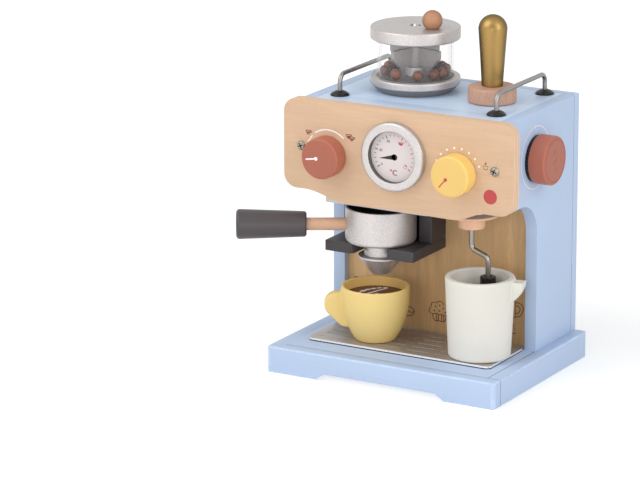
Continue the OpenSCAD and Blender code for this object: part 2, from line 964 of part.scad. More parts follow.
// Foot with its cone, the groove for the jar and the boss in which the shaft turns
module hopper_foot() {
    color("#c8c4c2")
        difference() {
            union() {
                at_hopper(cab_top)
                    cylinder(h = foot_cone_h, d1 = foot_low_d, d2 = hopper_d, $fn = 96);
                at_hopper(cab_top + foot_cone_h)
                    rotate_extrude($fn = 96) {
                        square([hopper_d / 2 - foot_edge, foot_h - foot_cone_h]);
                        square([hopper_d / 2, foot_h - foot_cone_h - foot_edge]);
                        translate([hopper_d / 2 - foot_edge, foot_h - foot_cone_h - foot_edge])
                            circle(foot_edge);
                    }
                at_hopper(foot_top - past) cylinder(h = boss_h + past, d = boss_d);
            }
            at_hopper(foot_top - jar_groove)
                difference() {
                    cylinder(h = jar_groove + past, d = jar_d + 2 * turn_gap, $fn = 96);
                    translate([0, 0, -past])
                        cylinder(h = jar_groove + 3 * past,
                                 d = jar_d - 2 * jar_wall - 2 * turn_gap, $fn = 96);
                }
            at_hopper(shaft_low) cylinder(h = foot_h + boss_h, d = shaft_d + 2 * turn_gap);
        }
}

module hopper_jar() {
    color([0.9, 0.95, 1, 0.3])
        at_hopper(foot_top - jar_groove)
            difference() {
                cylinder(h = jar_groove + jar_h, d = jar_d, $fn = 96);
                translate([0, 0, -past])
                    cylinder(h = jar_groove + jar_h + 2 * past, d = jar_d - 2 * jar_wall, $fn = 96);
            }
}

module bean_beads() {
    color("#824628")
        at_hopper(foot_top + bead_d / 2)
            for (turn = bead_turns)
                rotate([0, 0, turn]) translate([bead_r, 0, 0]) sphere(d = bead_d, $fn = 32);
}

module hopper_lid() {
    color("#c8c4c2")
        difference() {
            at_hopper(lid_z) soft_disc(hopper_d, lid_t, lid_edge, $fn = 96);
            at_hopper(lid_z - past) cylinder(h = lid_t / 2 + past, d = shaft_d + 2 * turn_gap);
            at_hopper(lid_top - bolt_h) cylinder(h = bolt_h + past, d = bolt_d + 2 * turn_gap);
            at_ball(lid_top) sphere(d = ball_d + 2 * turn_gap);
        }
}

// The ball is let into the lid by a tenth of its diameter
module at_ball(top) {
    at_hopper(top + ball_d * (0.5 - ball_sunk))
        rotate([0, 0, rotor_angle]) translate([ball_reach, 0, 0]) children();
}

module lid_ball() {
    color("#d2966e") at_ball(lid_top) sphere(d = ball_d);
}

module lid_bolt() {
    color("#8c8886")
        at_hopper(lid_top - bolt_h + turn_gap) {
            cylinder(h = bolt_h - turn_gap, d = bolt_d);
            translate([0, 0, bolt_h - cap_r / 2])
                intersection() {
                    sphere(cap_r);
                    translate([-cap_r, -cap_r, 0]) cube(2 * cap_r);
                }
        }
}

module grinder_shaft() {
    color("#c8c4c2")
        at_hopper(shaft_low + face_gap)
            cylinder(h = lid_z + lid_t / 2 - shaft_low - face_gap - turn_gap, d = shaft_d);
}

// Paddles on a sleeve round the shaft, each with its lower outer corner cut off
module grinder_paddles() {
    color("#b4b0ae")
        at_hopper(foot_top + paddle_z)
            difference() {
                union() {
                    translate([0, 0, -sleeve_rise])
                        cylinder(h = paddle_h + 2 * sleeve_rise, d = shaft_d + 2 * sleeve_wall);
                    for (k = [0 : paddle_n - 1])
                        rotate([90, 0, rotor_angle + k * 360 / paddle_n])
                            translate([0, 0, -paddle_t / 2])
                                linear_extrude(paddle_t)
                                    polygon([[paddle_in, 0], [paddle_reach - paddle_cut, 0],
                                             [paddle_reach, paddle_cut], [paddle_reach, paddle_h],
                                             [paddle_in, paddle_h]]);
                }
                translate([0, 0, -past])
                    cylinder(h = paddle_h + 2 * past, d = shaft_d + 2 * turn_gap);
            }
}

// ---- Rails ----

// The four feet of the rails as straight pegs going down into the top board
module rail_feet(d, deep) {
    for (side = [-1, 1], y = [rail_y, rail_y + rail_l])
        translate([side * rail_x, y, cab_top - deep]) cylinder(h = deep + past, d = d);
}

module rail(side) {
    leg = rail_h - rail_bend;
    color("#a8a2a0")
        translate([side * rail_x, rail_y, cab_top]) {
            for (y = [0, rail_l])
                translate([0, y, -rail_deep])
                    cylinder(h = rail_deep + leg, d = rail_d, $fn = 32);
            translate([0, 0, leg]) rotate([0, 0, -90]) bend(rail_d, rail_bend, 90);
            translate([0, rail_l, leg]) rotate([0, 0, 90]) bend(rail_d, rail_bend, 90);
            translate([0, rail_bend, rail_h])
                rotate([-90, 0, 0]) cylinder(h = rail_l - 2 * rail_bend, d = rail_d, $fn = 32);
        }
}

module left_rail() {
    rail(-1);
}

module right_rail() {
    rail(1);
}

module rail_grommets() {
    color("#2a2826")
        for (side = [-1, 1], y = [rail_y, rail_y + rail_l])
            translate([side * rail_x, y, cab_top])
                difference() {
                    rotate_extrude() {
                        square([grommet_d / 2 - grommet_edge, grommet_h]);
                        square([grommet_d / 2, grommet_h - grommet_edge]);
                        translate([grommet_d / 2 - grommet_edge, grommet_h - grommet_edge])
                            circle(grommet_edge);
                    }
                    translate([0, 0, -past])
                        cylinder(h = grommet_h + 2 * past, d = rail_d + 2 * turn_gap);
                }
}

// ---- Tamper ----

module at_tamper(z) {
    translate([tamper_x, tamper_y, z]) children();
}

module tamper_foot() {
    color("#d0a38c")
        difference() {
            at_tamper(cab_top + face_gap) soft_disc(tamper_d, tamper_h, tamper_edge, $fn = 96);
            at_tamper(cab_top + face_gap + tamper_h - peg_deep)
                cylinder(h = peg_deep + past, d = peg_d + 2 * turn_gap);
        }
}

// Handle widening upwards into a round head, with a peg down into the foot
module tamper_grasp() {
    low = cab_top + face_gap + tamper_h;
    ball_z = grasp_h - grasp_d / 2;
    color("#a58750")
        at_tamper(low) {
            rotate_extrude($fn = 96)
                intersection() {
                    square([grasp_d, grasp_h]);
                    union() {
                        polygon([[0, 0], [grasp_low_d / 2, 0], [grasp_d / 2, ball_z], [0, ball_z]]);
                        translate([0, ball_z]) circle(d = grasp_d);
                    }
                }
            translate([0, 0, turn_gap - peg_deep]) cylinder(h = peg_deep, d = peg_d);
        }
}

// ---- Cup ----

module at_cup(z) {
    translate([cup_x, cup_y, z]) children();
}

// Outer face of the cup, revolved from the share-of-height rule
module cup_body() {
    rotate_extrude($fn = 96)
        polygon(concat([[0, 0]],
                       [for (i = [0 : cup_steps]) [cup_radius(i / cup_steps), cup_h * i / cup_steps]],
                       [[0, cup_h]]));
}

// Room inside the cup, one wall within the outer face and above a floor of two walls
module cup_room(top) {
    floor_share = 2 * cup_wall / cup_h;
    rotate_extrude($fn = 96)
        polygon(concat([[0, 2 * cup_wall]],
                       [for (i = [0 : cup_steps])
                            let (share = floor_share + (top / cup_h - floor_share) * i / cup_steps)
                            [cup_radius(min(1, share)) - cup_wall, cup_h * share]],
                       [[0, top]]));
}

// Solid ear: full above, drawn in to the cup below
module cup_ear() {
    rotate([90, 0, ear_angle])
        translate([0, 0, -ear_t / 2])
            linear_extrude(ear_t)
                hull() {
                    translate([ear_reach - ear_top_r, cup_h * ear_top_share])
                        circle(ear_top_r, $fn = 32);
                    translate([cup_d / 4, cup_h * ear_top_share]) circle(ear_top_r, $fn = 32);
                    translate([cup_d / 2 - ear_low_r / 2, cup_h * ear_low_share])
                        circle(ear_low_r, $fn = 32);
                }
}

module cup() {
    color("#e9ce86")
        at_cup(stand_z)
            difference() {
                union() {
                    cup_body();
                    cup_ear();
                }
                cup_room(cup_h + past);
            }
}

module coffee() {
    top = cup_h - coffee_low;
    color("#5a3418")
        at_cup(stand_z)
            rotate_extrude($fn = 96)
                polygon([[0, top - coffee_t],
                         [cup_radius((top - coffee_t) / cup_h) - cup_wall - 2 * turn_gap, top - coffee_t],
                         [cup_radius(top / cup_h) - cup_wall - 2 * turn_gap, top], [0, top]]);
}

// ---- Jug ----

module at_jug(z) {
    translate([jug_x, jug_y, z]) children();
}

// Radius of the jug's outer face at a height
function jug_radius(z) = (jug_foot_d + (jug_d - jug_foot_d) * z / jug_h) / 2;

module jug_body() {
    rotate_extrude($fn = 96) {
        polygon([[0, 0], [jug_radius(0) - jug_edge, 0], [jug_radius(jug_edge), jug_edge],
                 [jug_radius(jug_h - jug_edge), jug_h - jug_edge],
                 [jug_radius(jug_h) - jug_edge, jug_h], [0, jug_h]]);
        translate([jug_radius(jug_edge) - jug_edge, jug_edge]) circle(jug_edge);
        translate([jug_radius(jug_h - jug_edge) - jug_edge, jug_h - jug_edge]) circle(jug_edge);
    }
}

module jug_beak() {
    rotate([90, 0, beak_angle])
        translate([0, 0, -beak_t / 2])
            linear_extrude(beak_t)
                intersection() {
                    translate([beak_reach - beak_r, jug_h - beak_low]) circle(beak_r);
                    translate([beak_reach - beak_r, jug_h - beak_low - beak_r]) square(beak_r);
                }
}

module jug() {
    color("#e9e7de")
        at_jug(stand_z)
            difference() {
                union() {
                    jug_body();
                    jug_beak();
                }
                translate([0, 0, jug_floor])
                    cylinder(h = jug_h - jug_floor, r1 = jug_radius(jug_floor) - jug_wall,
                             r2 = jug_radius(jug_h) - jug_wall, $fn = 96);
                translate([0, 0, jug_h])
                    cylinder(h = past, r = jug_radius(jug_h) - jug_wall, $fn = 96);
            }
}

base_front();
base_back();
base_left();
base_right();
base_deck();
left_wall();
right_wall();
back_board();
top_board();
head_floor();
head_lip();
bay_panel();
front_panel();
panel_screws();
gauge_ring();
gauge_dial();
drip_tray();
fork_plate();
fork_block();
left_rail();
right_rail();
rail_grommets();
hopper_foot();
hopper_jar();
bean_beads();
hopper_lid();
lid_ball();
lid_bolt();
grinder_shaft();
grinder_paddles();
left_knob();
left_axle();
right_knob();
right_axle();
side_knob();
side_axle();
side_washer();
filter_basket();
filter_spout();
filter_rod();
filter_grip();
frother_flange();
frother_wand();
frother_tip();
frother_nut();
tamper_foot();
tamper_grasp();
cup();
coffee();
jug();
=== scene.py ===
"""Wooden play coffee machine: paint, timber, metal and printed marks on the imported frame.

All lengths are in metres unless a name ends in _MM. X runs to the right, Y to the back, Z up.
"""

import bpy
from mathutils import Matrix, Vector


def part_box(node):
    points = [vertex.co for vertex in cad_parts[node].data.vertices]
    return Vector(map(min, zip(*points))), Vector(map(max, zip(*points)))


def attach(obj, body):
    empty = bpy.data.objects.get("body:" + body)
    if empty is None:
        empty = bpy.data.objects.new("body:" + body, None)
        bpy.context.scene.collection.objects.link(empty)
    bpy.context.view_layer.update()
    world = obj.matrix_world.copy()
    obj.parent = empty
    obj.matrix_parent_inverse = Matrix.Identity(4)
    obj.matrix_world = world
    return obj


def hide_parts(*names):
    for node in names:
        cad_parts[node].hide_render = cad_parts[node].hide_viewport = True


bl_info = {
    "name": "Play Coffee Machine",
    "version": (1, 0, 0),
    "blender": (4, 5, 0),
    "location": "View3D > Sidebar > Coffee Machine",
    "description": "Paint, timber, metal and printed marks for a wooden play coffee machine",
    "category": "Add Mesh",
}

import math
import random

import bmesh
import bpy
from bpy.props import FloatProperty, FloatVectorProperty, IntProperty, PointerProperty
from mathutils import Matrix, Vector

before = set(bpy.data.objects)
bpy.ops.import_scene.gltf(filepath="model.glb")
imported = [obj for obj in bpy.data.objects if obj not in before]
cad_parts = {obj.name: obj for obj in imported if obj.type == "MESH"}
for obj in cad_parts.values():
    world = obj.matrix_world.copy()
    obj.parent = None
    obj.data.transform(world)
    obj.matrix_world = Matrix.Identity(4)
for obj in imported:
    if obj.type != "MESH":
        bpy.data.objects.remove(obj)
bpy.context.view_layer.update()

MM = 0.001
INK_SLOTS = {"white_ink": "dial_white", "red_ink": "terracotta", "dark_red_ink": "terracotta",
             "black_ink": "fork_black", "brown_ink": "coffee_brown"}
X, Y, Z = Vector((1, 0, 0)), Vector((0, 1, 0)), Vector((0, 0, 1))
FULL_TURN = 2 * math.pi


def linear(red, green, blue):
    """A colour as seen on screen, 0 to 255, as scene-linear numbers."""
    def one(c):
        c /= 255
        return c / 12.92 if c <= 0.04045 else ((c + 0.055) / 1.055) ** 2.4
    return one(red), one(green), one(blue)


def colour_property(name, description, red, green, blue):
    return FloatVectorProperty(name=name, description=description, subtype="COLOR", size=3,
                               min=0, max=1, default=linear(red, green, blue))


def length_property(name, description, millimetres):
    return FloatProperty(name=name, description=description, subtype="DISTANCE", unit="LENGTH",
                         min=0, default=millimetres * MM)


def number_property(name, description, value, **more):
    return FloatProperty(name=name, description=description, default=value, **more)


# ---- What a user would change ----

class CoffeeMachineColours(bpy.types.PropertyGroup):
    """Paints, timbers and inks"""
    cabinet: colour_property("Cabinet", "Matt paint of base and cabinet", 180, 199, 227)
    # painted light: the top is a lighter blue than the cabinet because it faces the light
    top: colour_property("Top", "Matt paint of the top board", 196, 215, 240)
    terracotta: colour_property("Terracotta", "Paint of the left and the side knob", 180, 106, 85)
    yellow: colour_property("Yellow", "Paint of the right knob", 247, 209, 119)
    cup: colour_property("Cup", "Paint of the cup", 231, 203, 132)
    cup_inside: colour_property("Cup inside", "Paint inside the cup", 246, 205, 128)
    jug: colour_property("Jug", "Paint of the milk jug", 222, 219, 210)
    charcoal: colour_property("Charcoal", "Paint of the fork and its upright", 62, 58, 60)
    grip: colour_property("Grip", "Paint of the filter holder's grip", 74, 68, 70)
    silver: colour_property("Silver", "Speckled metallic paint", 191, 186, 185)
    tray: colour_property("Tray", "Metal of the drip tray", 178, 170, 165)
    lip: colour_property("Lip", "Paint of the lip under the front panel", 212, 207, 206)
    gold: colour_property("Gold", "Metallic paint of the tamper's handle", 144, 117, 69)
    birch: colour_property("Birch", "Face veneer of the front panel", 214, 180, 149)
    # painted light: the bay's timber is set lighter to offset the shade under the head
    bay: colour_property("Bay", "Timber of the panel behind the bay", 212, 173, 124)
    beech: colour_property("Beech", "Turned beech of rod, flange and axles", 209, 168, 140)
    tamper_beech: colour_property("Tamper beech", "Beech of the tamper's foot", 204, 161, 137)
    ball: colour_property("Ball", "Beech of the ball on the lid", 190, 137, 104)
    bean: colour_property("Bean", "Stain of the bean beads", 118, 62, 22)
    coffee: colour_property("Coffee", "Printed coffee", 104, 60, 34)
    dial: colour_property("Dial", "Ground of the gauge's dial", 216, 206, 207)
    red_ink: colour_property("Red ink", "Red printed marks", 184, 66, 68)
    black_ink: colour_property("Black ink", "Black printed marks", 26, 24, 24)
    white_ink: colour_property("White ink", "White printed marks", 246, 242, 244)
    brown_ink: colour_property("Brown ink", "Line drawings on the bay panel", 88, 56, 34)


class CoffeeMachineSizes(bpy.types.PropertyGroup):
    """Edges and print"""
    outer_edge: length_property("Outer edge", "Rounding of edges that hands touch", 1.6)
    corner: length_property("Corner", "Rounding of the base's upright corners", 3.4)
    seam_edge: length_property("Seam edge", "Rounding where two boards meet", 0.35)
    panel_edge: length_property("Panel edge", "Rounding of the front panel's edges", 1.5)
    ink: length_property("Ink", "Thickness of a printed mark", 0.06)
    turned_steps: IntProperty(name="Turned steps", description="Steps round a turned piece",
                              min=24, max=256, default=128)


class CoffeeMachineStage(bpy.types.PropertyGroup):
    """Camera, lamps and floor"""
    lens: number_property("Lens", "Focal length in millimetres on a 36 mm sensor", 205.53,
                          min=20, max=400)
    key_power: number_property("Key lamp", "Power of the lamp at the upper left", 24.5,
                               subtype="POWER", min=0)
    fill_power: number_property("Fill lamp", "Power of the lamp at the right", 14,
                                subtype="POWER", min=0)
    front_power: number_property("Front lamp", "Power of the low lamp in front", 9,
                                 subtype="POWER", min=0)
    sky: number_property("Sky", "Strength of the even light from all sides", 0.61, min=0)


# ---- Finishes ----

class Value:
    """One output of a finish's nodes; sums, products and powers of it add Math nodes."""

    def __init__(self, finish, socket):
        self.finish = finish
        self.socket = socket

    def math(self, operation, other=None, clamp=False):
        return self.finish.node("ShaderNodeMath", {"operation": operation, "use_clamp": clamp},
                                {0: self, 1: other})

    def reverse(self, operation, other):
        return self.finish.node("ShaderNodeMath", {"operation": operation}, {0: other, 1: self})

    def __add__(self, other):
        return self.math("ADD", other)

    __radd__ = __add__

    def __sub__(self, other):
        return self.math("SUBTRACT", other)

    def __rsub__(self, other):
        return self.reverse("SUBTRACT", other)

    def __mul__(self, other):
        return self.math("MULTIPLY", other)

    __rmul__ = __mul__

    def __pow__(self, other):
        return self.math("POWER", other)

    def above(self, level, softness):
        """0 below a level and 1 above it, with a soft step between."""
        return self.finish.node("ShaderNodeMapRange", {"interpolation_type": "SMOOTHSTEP"},
                                {"Value": self, "From Min": level - softness,
                                 "From Max": level + softness})


class Finish:
    """A material or a world under construction, with patterns measured in millimetres."""

    def __init__(self, name, owner=None):
        self.material = owner or bpy.data.materials.new(name)
        self.material.use_nodes = True
        self.tree = self.material.node_tree
        self.tree.nodes.clear()
        self.place = self.node("ShaderNodeTexCoord", output="Object")

    def node(self, kind, settings=None, inputs=None, output=0):
        made = self.tree.nodes.new(kind)
        for name, setting in (settings or {}).items():
            if name == "stops":
                self.set_stops(made.color_ramp, setting)
            else:
                setattr(made, name, setting)
        for name, value in (inputs or {}).items():
            if isinstance(value, Value):
                self.tree.links.new(value.socket, made.inputs[name])
            elif value is not None:
                made.inputs[name].default_value = value
        return Value(self, made.outputs[output])

    @staticmethod
    def set_stops(ramp, stops):
        while len(ramp.elements) < len(stops):
            ramp.elements.new(1)
        for element, (position, colour) in zip(ramp.elements, stops):
            element.position = position
            element.color = (*colour, 1)

    def stretched(self, across):
        """Object coordinates in millimetres, each axis multiplied by its own factor."""
        return self.node("ShaderNodeVectorMath", {"operation": "MULTIPLY"},
                         {0: self.place, 1: [factor / MM for factor in across]})

    def noise(self, across, detail=2.0, roughness=0.5, distortion=0.0):
        """Cloudy pattern from 0 to 1; across gives its features per millimetre on each axis."""
        if not isinstance(across, (tuple, list)):
            across = (across,) * 3
        return self.node("ShaderNodeTexNoise", None,
                         {"Vector": self.stretched(across), "Scale": 1.0, "Detail": detail,
                          "Roughness": roughness, "Distortion": distortion})

    def cells(self, across):
        """A different grey in each cell of a random mesh."""
        made = self.node("ShaderNodeTexVoronoi", {"feature": "F1"},
                         {"Vector": self.stretched((across,) * 3), "Scale": 1.0}, "Color")
        return self.node("ShaderNodeSeparateColor", None, {0: made})

    def along(self, axis):
        """The place on one axis, in metres."""
        return self.node("ShaderNodeSeparateXYZ", None, {0: self.place}, axis)

    def seen(self):
        """1 for what the camera sees, also in a mirror or through glass, and 0 for other light."""
        camera, glossy, through = (self.node("ShaderNodeLightPath", output=f"Is {ray} Ray")
                                   for ray in ("Camera", "Glossy", "Transmission"))
        return camera.math("MAXIMUM", glossy).math("MAXIMUM", through)

    def mix(self, share, first, second, blend="MIX"):
        """Colour between two colours."""
        first, second = (c if isinstance(c, Value) else (*c, 1) for c in (first, second))
        return self.node("ShaderNodeMix", {"data_type": "RGBA", "blend_type": blend},
                         {0: share, 6: first, 7: second}, output=2)

    def bump(self, height, millimetres, strength=1.0):
        return self.node("ShaderNodeBump", None,
                         {"Height": height, "Distance": millimetres * MM, "Strength": strength})

    def turned_away(self, blend=0.5):
        """0 where the surface faces the eye and 1 where it is seen edge on."""
        return self.node("ShaderNodeLayerWeight", None, {"Blend": blend}, "Facing")

    def done(self, **sockets):
        """Ends the material in a principled shader whose sockets are given by name."""
        named = {name.replace("_", " "): value for name, value in sockets.items()}
        return self.end(self.node("ShaderNodeBsdfPrincipled", None, named))

    def end(self, shader, kind="ShaderNodeOutputMaterial"):
        end = self.tree.nodes.new(kind)
        self.tree.links.new(shader.socket, end.inputs["Surface"])
        return self.material


def tone(colour, factor):
    """A colour made lighter or darker."""
    return tuple(min(1.0, c * factor) for c in colour)


def blued(colour):
    """A paint's colour in the shade of a gap, where mostly its blue is left."""
    return colour[0] * 0.5, colour[1] * 0.8, min(1.0, colour[2] * 1.2)


def grained_axis(axis, along, across):
    """Pattern factors for a grain that runs along one axis."""
    return tuple(along if n == axis else across for n in range(3))


def matt_paint(name, colour, roughness=0.5, grain_axis=None):
    """Sprayed paint on timber: faint clouds, a fine orange-peel and, if asked, visible grain."""
    f = Finish(name)
    cloud = f.noise(0.02, detail=3)
    peel = f.noise(1.1, detail=2)
    shade = f.mix(cloud, tone(colour, 0.955), tone(colour, 1.035))
    height = peel
    if grain_axis is not None:
        fibre = f.noise(grained_axis(grain_axis, 0.02, 0.9), detail=3)
        height = peel + fibre * 1.4
        shade = f.mix(fibre.above(0.62, 0.06) * 0.10, shade, tone(colour, 0.8))
    fleck = f.noise(0.45, detail=1).above(0.73, 0.02)
    shade = f.mix(fleck * 0.18, shade, tone(colour, 1.15))
    return f.done(Base_Color=shade, Roughness=roughness - 0.05 + cloud * 0.1,
                  Normal=f.bump(height, 0.03), Specular_IOR_Level=0.4)


def worn_and_highlit_paint(name, colour, roughness=0.5):
    """The same paint on the edges, lighter in small patches: partly rubbed thin, partly a painted
    highlight where an edge catches the light.
    """
    f = Finish(name)
    patch = f.noise(0.22, detail=4, roughness=0.65)
    # painted highlight and wear: lighter patches on the rounded edges
    shade = f.mix(patch.above(0.5, 0.16) * 0.55, tone(colour, 1.04), tone(colour, 1.3))
    return f.done(Base_Color=shade, Roughness=roughness - patch * 0.1,
                  Normal=f.bump(f.noise(1.4), 0.03), Specular_IOR_Level=0.45)


def seam_paint(name, colour):
    """Paint in the narrow gap between two boards, dark with shade and dust."""
    f = Finish(name)
    dust = f.noise(0.5, detail=3)
    return f.done(Base_Color=f.mix(dust, tone(colour, 0.22), tone(colour, 0.36)), Roughness=0.7,
                  Normal=f.bump(dust, 0.02))


def timber(name, colour, grain_axis, fleck=0.5, gloss=0.45, figure=0.5, painted_light_left=None,
           painted_rim_shade=0.0):
    """Bare timber under a clear coat: broad figure, fine fibres and short dark flecks.

    A warm painted light is added left of the place in metres that the left argument gives; the rim
    argument paints shade where the surface turns away from the eye.
    """
    f = Finish(name)

    def grain(along, across, detail, roughness=0.5, distortion=0.0):
        return f.noise(grained_axis(grain_axis, along, across), detail, roughness, distortion)

    figured = grain(0.006, 0.06, 4, 0.6, 0.6)
    streak = grain(0.018, 0.34, 3, 0.65, 0.4)
    fibre = grain(0.06, 1.1, 3, 0.7)
    pore = grain(0.16, 1.7, 1).above(0.66, 0.04)
    shade = f.mix(figured.above(0.5, 0.22), tone(colour, 1 - 0.14 * figure),
                  tone(colour, 1 + 0.12 * figure))
    shade = f.mix(streak.above(0.52, 0.18) * 0.5, shade, tone(colour, 1 - 0.3 * figure))
    shade = f.mix(fibre * 0.5, shade, tone(colour, 0.84))
    shade = f.mix(pore * fleck, shade, tone(colour, 0.62))
    if painted_light_left is not None:
        # painted light: a warm light added to the colour on the bay's left
        warm_light = (0.17, 0.12, 0.07)
        shade = f.mix(1 - f.along("X").above(painted_light_left, 0.03), shade, warm_light, "ADD")
    if painted_rim_shade:
        # painted shade: the colour darkens where the surface turns away from the eye
        shade = f.mix(f.turned_away().above(0.45, 0.35) * painted_rim_shade, shade, tone(colour, 0.35))
    return f.done(Base_Color=shade, Roughness=gloss + 0.12 * fibre,
                  Normal=f.bump(fibre - pore * 0.7, 0.035), Specular_IOR_Level=0.4)


def ply_edge(name, colour, depth_axis, sheet_mm=1.5):
    """Cut edge of plywood: thin sheets in turn light and darker, with open end grain."""
    f = Finish(name)
    sheet = f.node("ShaderNodeSeparateXYZ", None, {0: f.stretched((1 / sheet_mm,) * 3)},
                   output=depth_axis)
    wavy = sheet + f.noise(0.05) * 0.5
    layer = wavy.math("PINGPONG", 1.0).above(0.5, 0.12)
    speck = f.noise(1.8, detail=2)
    shade = f.mix(layer, tone(colour, 1.3), tone(colour, 0.92))
    streak = f.noise((0.12, 1.0, 0.12), detail=3)
    shade = f.mix(streak.above(0.56, 0.1) * 0.4, shade, tone(colour, 0.95))
    shade = f.mix(speck.above(0.62, 0.06) * 0.25, shade, tone(colour, 0.75))
    return f.done(Base_Color=shade, Roughness=0.6, Normal=f.bump(speck + layer * 0.5, 0.05))


def speckled_metal(name, colour, metal=0.75, roughness=0.42, speckle=0.5, gloss=0.0, painted_rim_shade=0.0):
    """Metallic paint with coarse flakes that catch the light one by one.

    Gloss paints a highlight, a bright band in the colour where the surface turns a little away from
    the eye; the rim argument paints shade where it turns far away.
    """
    f = Finish(name)
    fine, coarse = f.cells(3.0), f.cells(1.5)
    grit = f.noise(0.8, detail=3, roughness=0.75)
    shade = f.mix(fine * 0.5 + coarse * 0.5, tone(colour, 1 - 0.85 * speckle),
                  tone(colour, 1 + 0.85 * speckle))
    shade = f.mix(grit.above(0.5, 0.14) * speckle * 0.7, shade, tone(colour, 0.6))
    # painted highlight and painted shade: the colour brightens and darkens with the angle to the
    # eye
    if gloss or painted_rim_shade:
        away = f.turned_away()
        shade = f.mix(away.above(0.5, 0.25) * painted_rim_shade, shade, tone(colour, 0.3))
        lit = away.above(0.035, 0.05) * (1 - away.above(0.28, 0.18))
        shade = f.mix(lit * gloss, shade, tone(colour, 1.8))
    return f.done(Base_Color=shade, Metallic=metal, Roughness=roughness + 0.16 * fine,
                  Normal=f.bump(grit + fine * 0.3, 0.2, speckle))


def drawn_steel(name, colour, length_axis=1, roughness=0.26):
    """Drawn steel rod with fine lines along it."""
    f = Finish(name)
    line = f.noise(grained_axis(length_axis, 0.02, 3.0), detail=3)
    haze = f.noise(0.08, detail=3)
    return f.done(Base_Color=f.mix(line, tone(colour, 0.86), tone(colour, 1.1)), Metallic=1.0,
                  Roughness=roughness + 0.14 * haze, Normal=f.bump(line, 0.01))


def lacquer(name, colour, roughness=0.18):
    """Black lacquer or hard rubber with a soft shine and a little dust."""
    f = Finish(name)
    haze = f.noise(0.3, detail=4)
    dust = f.noise(1.3, detail=1).above(0.78, 0.02)
    return f.done(Base_Color=f.mix(dust * 0.1, colour, (0.16, 0.15, 0.15)),
                  Roughness=roughness + haze * 0.1, Normal=f.bump(haze, 0.02),
                  Specular_IOR_Level=0.3)


def printed(name, colour):
    """Screen-printed ink, a little uneven."""
    f = Finish(name)
    grain = f.noise(1.6, detail=2)
    return f.done(Base_Color=f.mix(grain, tone(colour, 0.93), tone(colour, 1.06)),
                  Roughness=0.42 + 0.1 * grain, Normal=f.bump(grain, 0.008))


def clear_acrylic(name):
    """Clear tube wall: see-through face on, bright and milky where it turns away."""
    f = Finish(name)
    smear = f.noise(0.05, detail=4)
    return f.done(Base_Color=(0.93, 0.90, 0.95, 1), Roughness=0.06 + smear * 0.05,
                  Alpha=f.turned_away(0.35) ** 3.0 * 0.65 + 0.04, Specular_IOR_Level=0.5,
                  Normal=f.bump(smear, 0.02))


# ---- Modelling by hand ----

def colours():
    return bpy.context.scene.coffee_machine_colours


def sizes():
    return bpy.context.scene.coffee_machine_sizes


def eased(t):
    """0 before 0, 1 after 1, and a soft S between."""
    t = min(1, max(0, t))
    return t * t * (3 - 2 * t)


def shared(name):
    """A finish that an earlier operator made."""
    return bpy.data.materials[name]


def add_object(name, data):
    """A new object in the scene for a mesh, a curve, a lamp or a camera."""
    obj = bpy.data.objects.new(name, data)
    bpy.context.scene.collection.objects.link(obj)
    return obj


def pick(*objects):
    """Selects only these objects and makes the first the active one."""
    bpy.ops.object.select_all(action="DESELECT")
    for o in objects:
        o.select_set(True)
    bpy.context.view_layer.objects.active = objects[0]


class Editing:
    """Edit mode on one object, with everything selected at first."""

    def __init__(self, obj):
        pick(obj)

    def __enter__(self):
        bpy.ops.object.mode_set(mode="EDIT")
        bpy.ops.mesh.select_mode(type="VERT")
        bpy.ops.mesh.select_all(action="SELECT")

    def __exit__(self, *_):
        bpy.ops.object.mode_set(mode="OBJECT")


def apply_all(obj):
    """Applies every modifier, first to last."""
    pick(obj)
    for modifier in list(obj.modifiers):
        bpy.ops.object.modifier_apply(modifier=modifier.name)


def settle(obj):
    """Puts the object at the origin, unturned and unscaled, with its place in its mesh."""
    pick(obj)
    bpy.ops.object.transform_apply(location=True, rotation=True, scale=True)
    return obj


def smooth(obj, degrees=32):
    pick(obj)
    bpy.ops.object.shade_smooth_by_angle(angle=math.radians(degrees))


def named_mesh(name, vertices, edges=(), faces=()):
    mesh = bpy.data.meshes.new(name)
    mesh.from_pydata([tuple(v) for v in vertices], list(edges), list(faces))
    return add_object(name, mesh)


def curve_to_mesh(name, curve):
    """A curve or a text made a mesh."""
    pick(add_object(name, curve))
    bpy.ops.object.convert(target="MESH")
    return bpy.context.view_layer.objects.active


def join(name, objects):
    pick(*objects)
    if len(objects) > 1:
        bpy.ops.object.join()
    objects[0].name = objects[0].data.name = name
    return objects[0]


def clothe(obj, *materials):
    obj.data.materials.clear()
    for material in materials:
        obj.data.materials.append(material)


def place_piece(obj, body, slot, replaced=()):
    """Attaches a finished piece to its body and hides the nodes it stands for; slot is not used."""
    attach(obj, body)
    if replaced:
        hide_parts(*replaced)
    return obj


def share_out(obj, number_of):
    """Gives each face the material whose number number_of returns for it."""
    for face in obj.data.polygons:
        face.material_index = int(number_of(face))


def finish_piece(obj, body, slot, node, *materials, number_of=None):
    """Clothes the piece that stands for a node, face by face if asked, and hands it over."""
    clothe(obj, *materials)
    if number_of:
        share_out(obj, number_of)
    return place_piece(obj, body, slot, [node])


def centre_of(node):
    low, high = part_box(node)
    return (low + high) / 2


def upright(node):
    """Foot, radius and height of a piece turned round an upright line."""
    low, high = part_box(node)
    return Vector((*centre_of(node).xy, low.z)), (high.x - low.x) / 2, high.z - low.z


def off_axis(point, centre):
    """How far a point lies from the upright line through centre."""
    return (point - centre).xy.length


def copied(node, name):
    """A welded copy of a node's mesh with its flat faces made whole."""
    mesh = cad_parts[node].data.copy()
    obj = add_object(name, mesh)
    for layer in list(mesh.uv_layers):
        mesh.uv_layers.remove(layer)
    if mesh.has_custom_normals:
        pick(obj)
        bpy.ops.mesh.customdata_custom_splitnormals_clear()
    with Editing(obj):
        bpy.ops.mesh.remove_doubles(threshold=1e-6)
        bpy.ops.mesh.dissolve_limited(angle_limit=math.radians(0.4))
    return obj


PAINT, EDGE, SEAM = range(3)


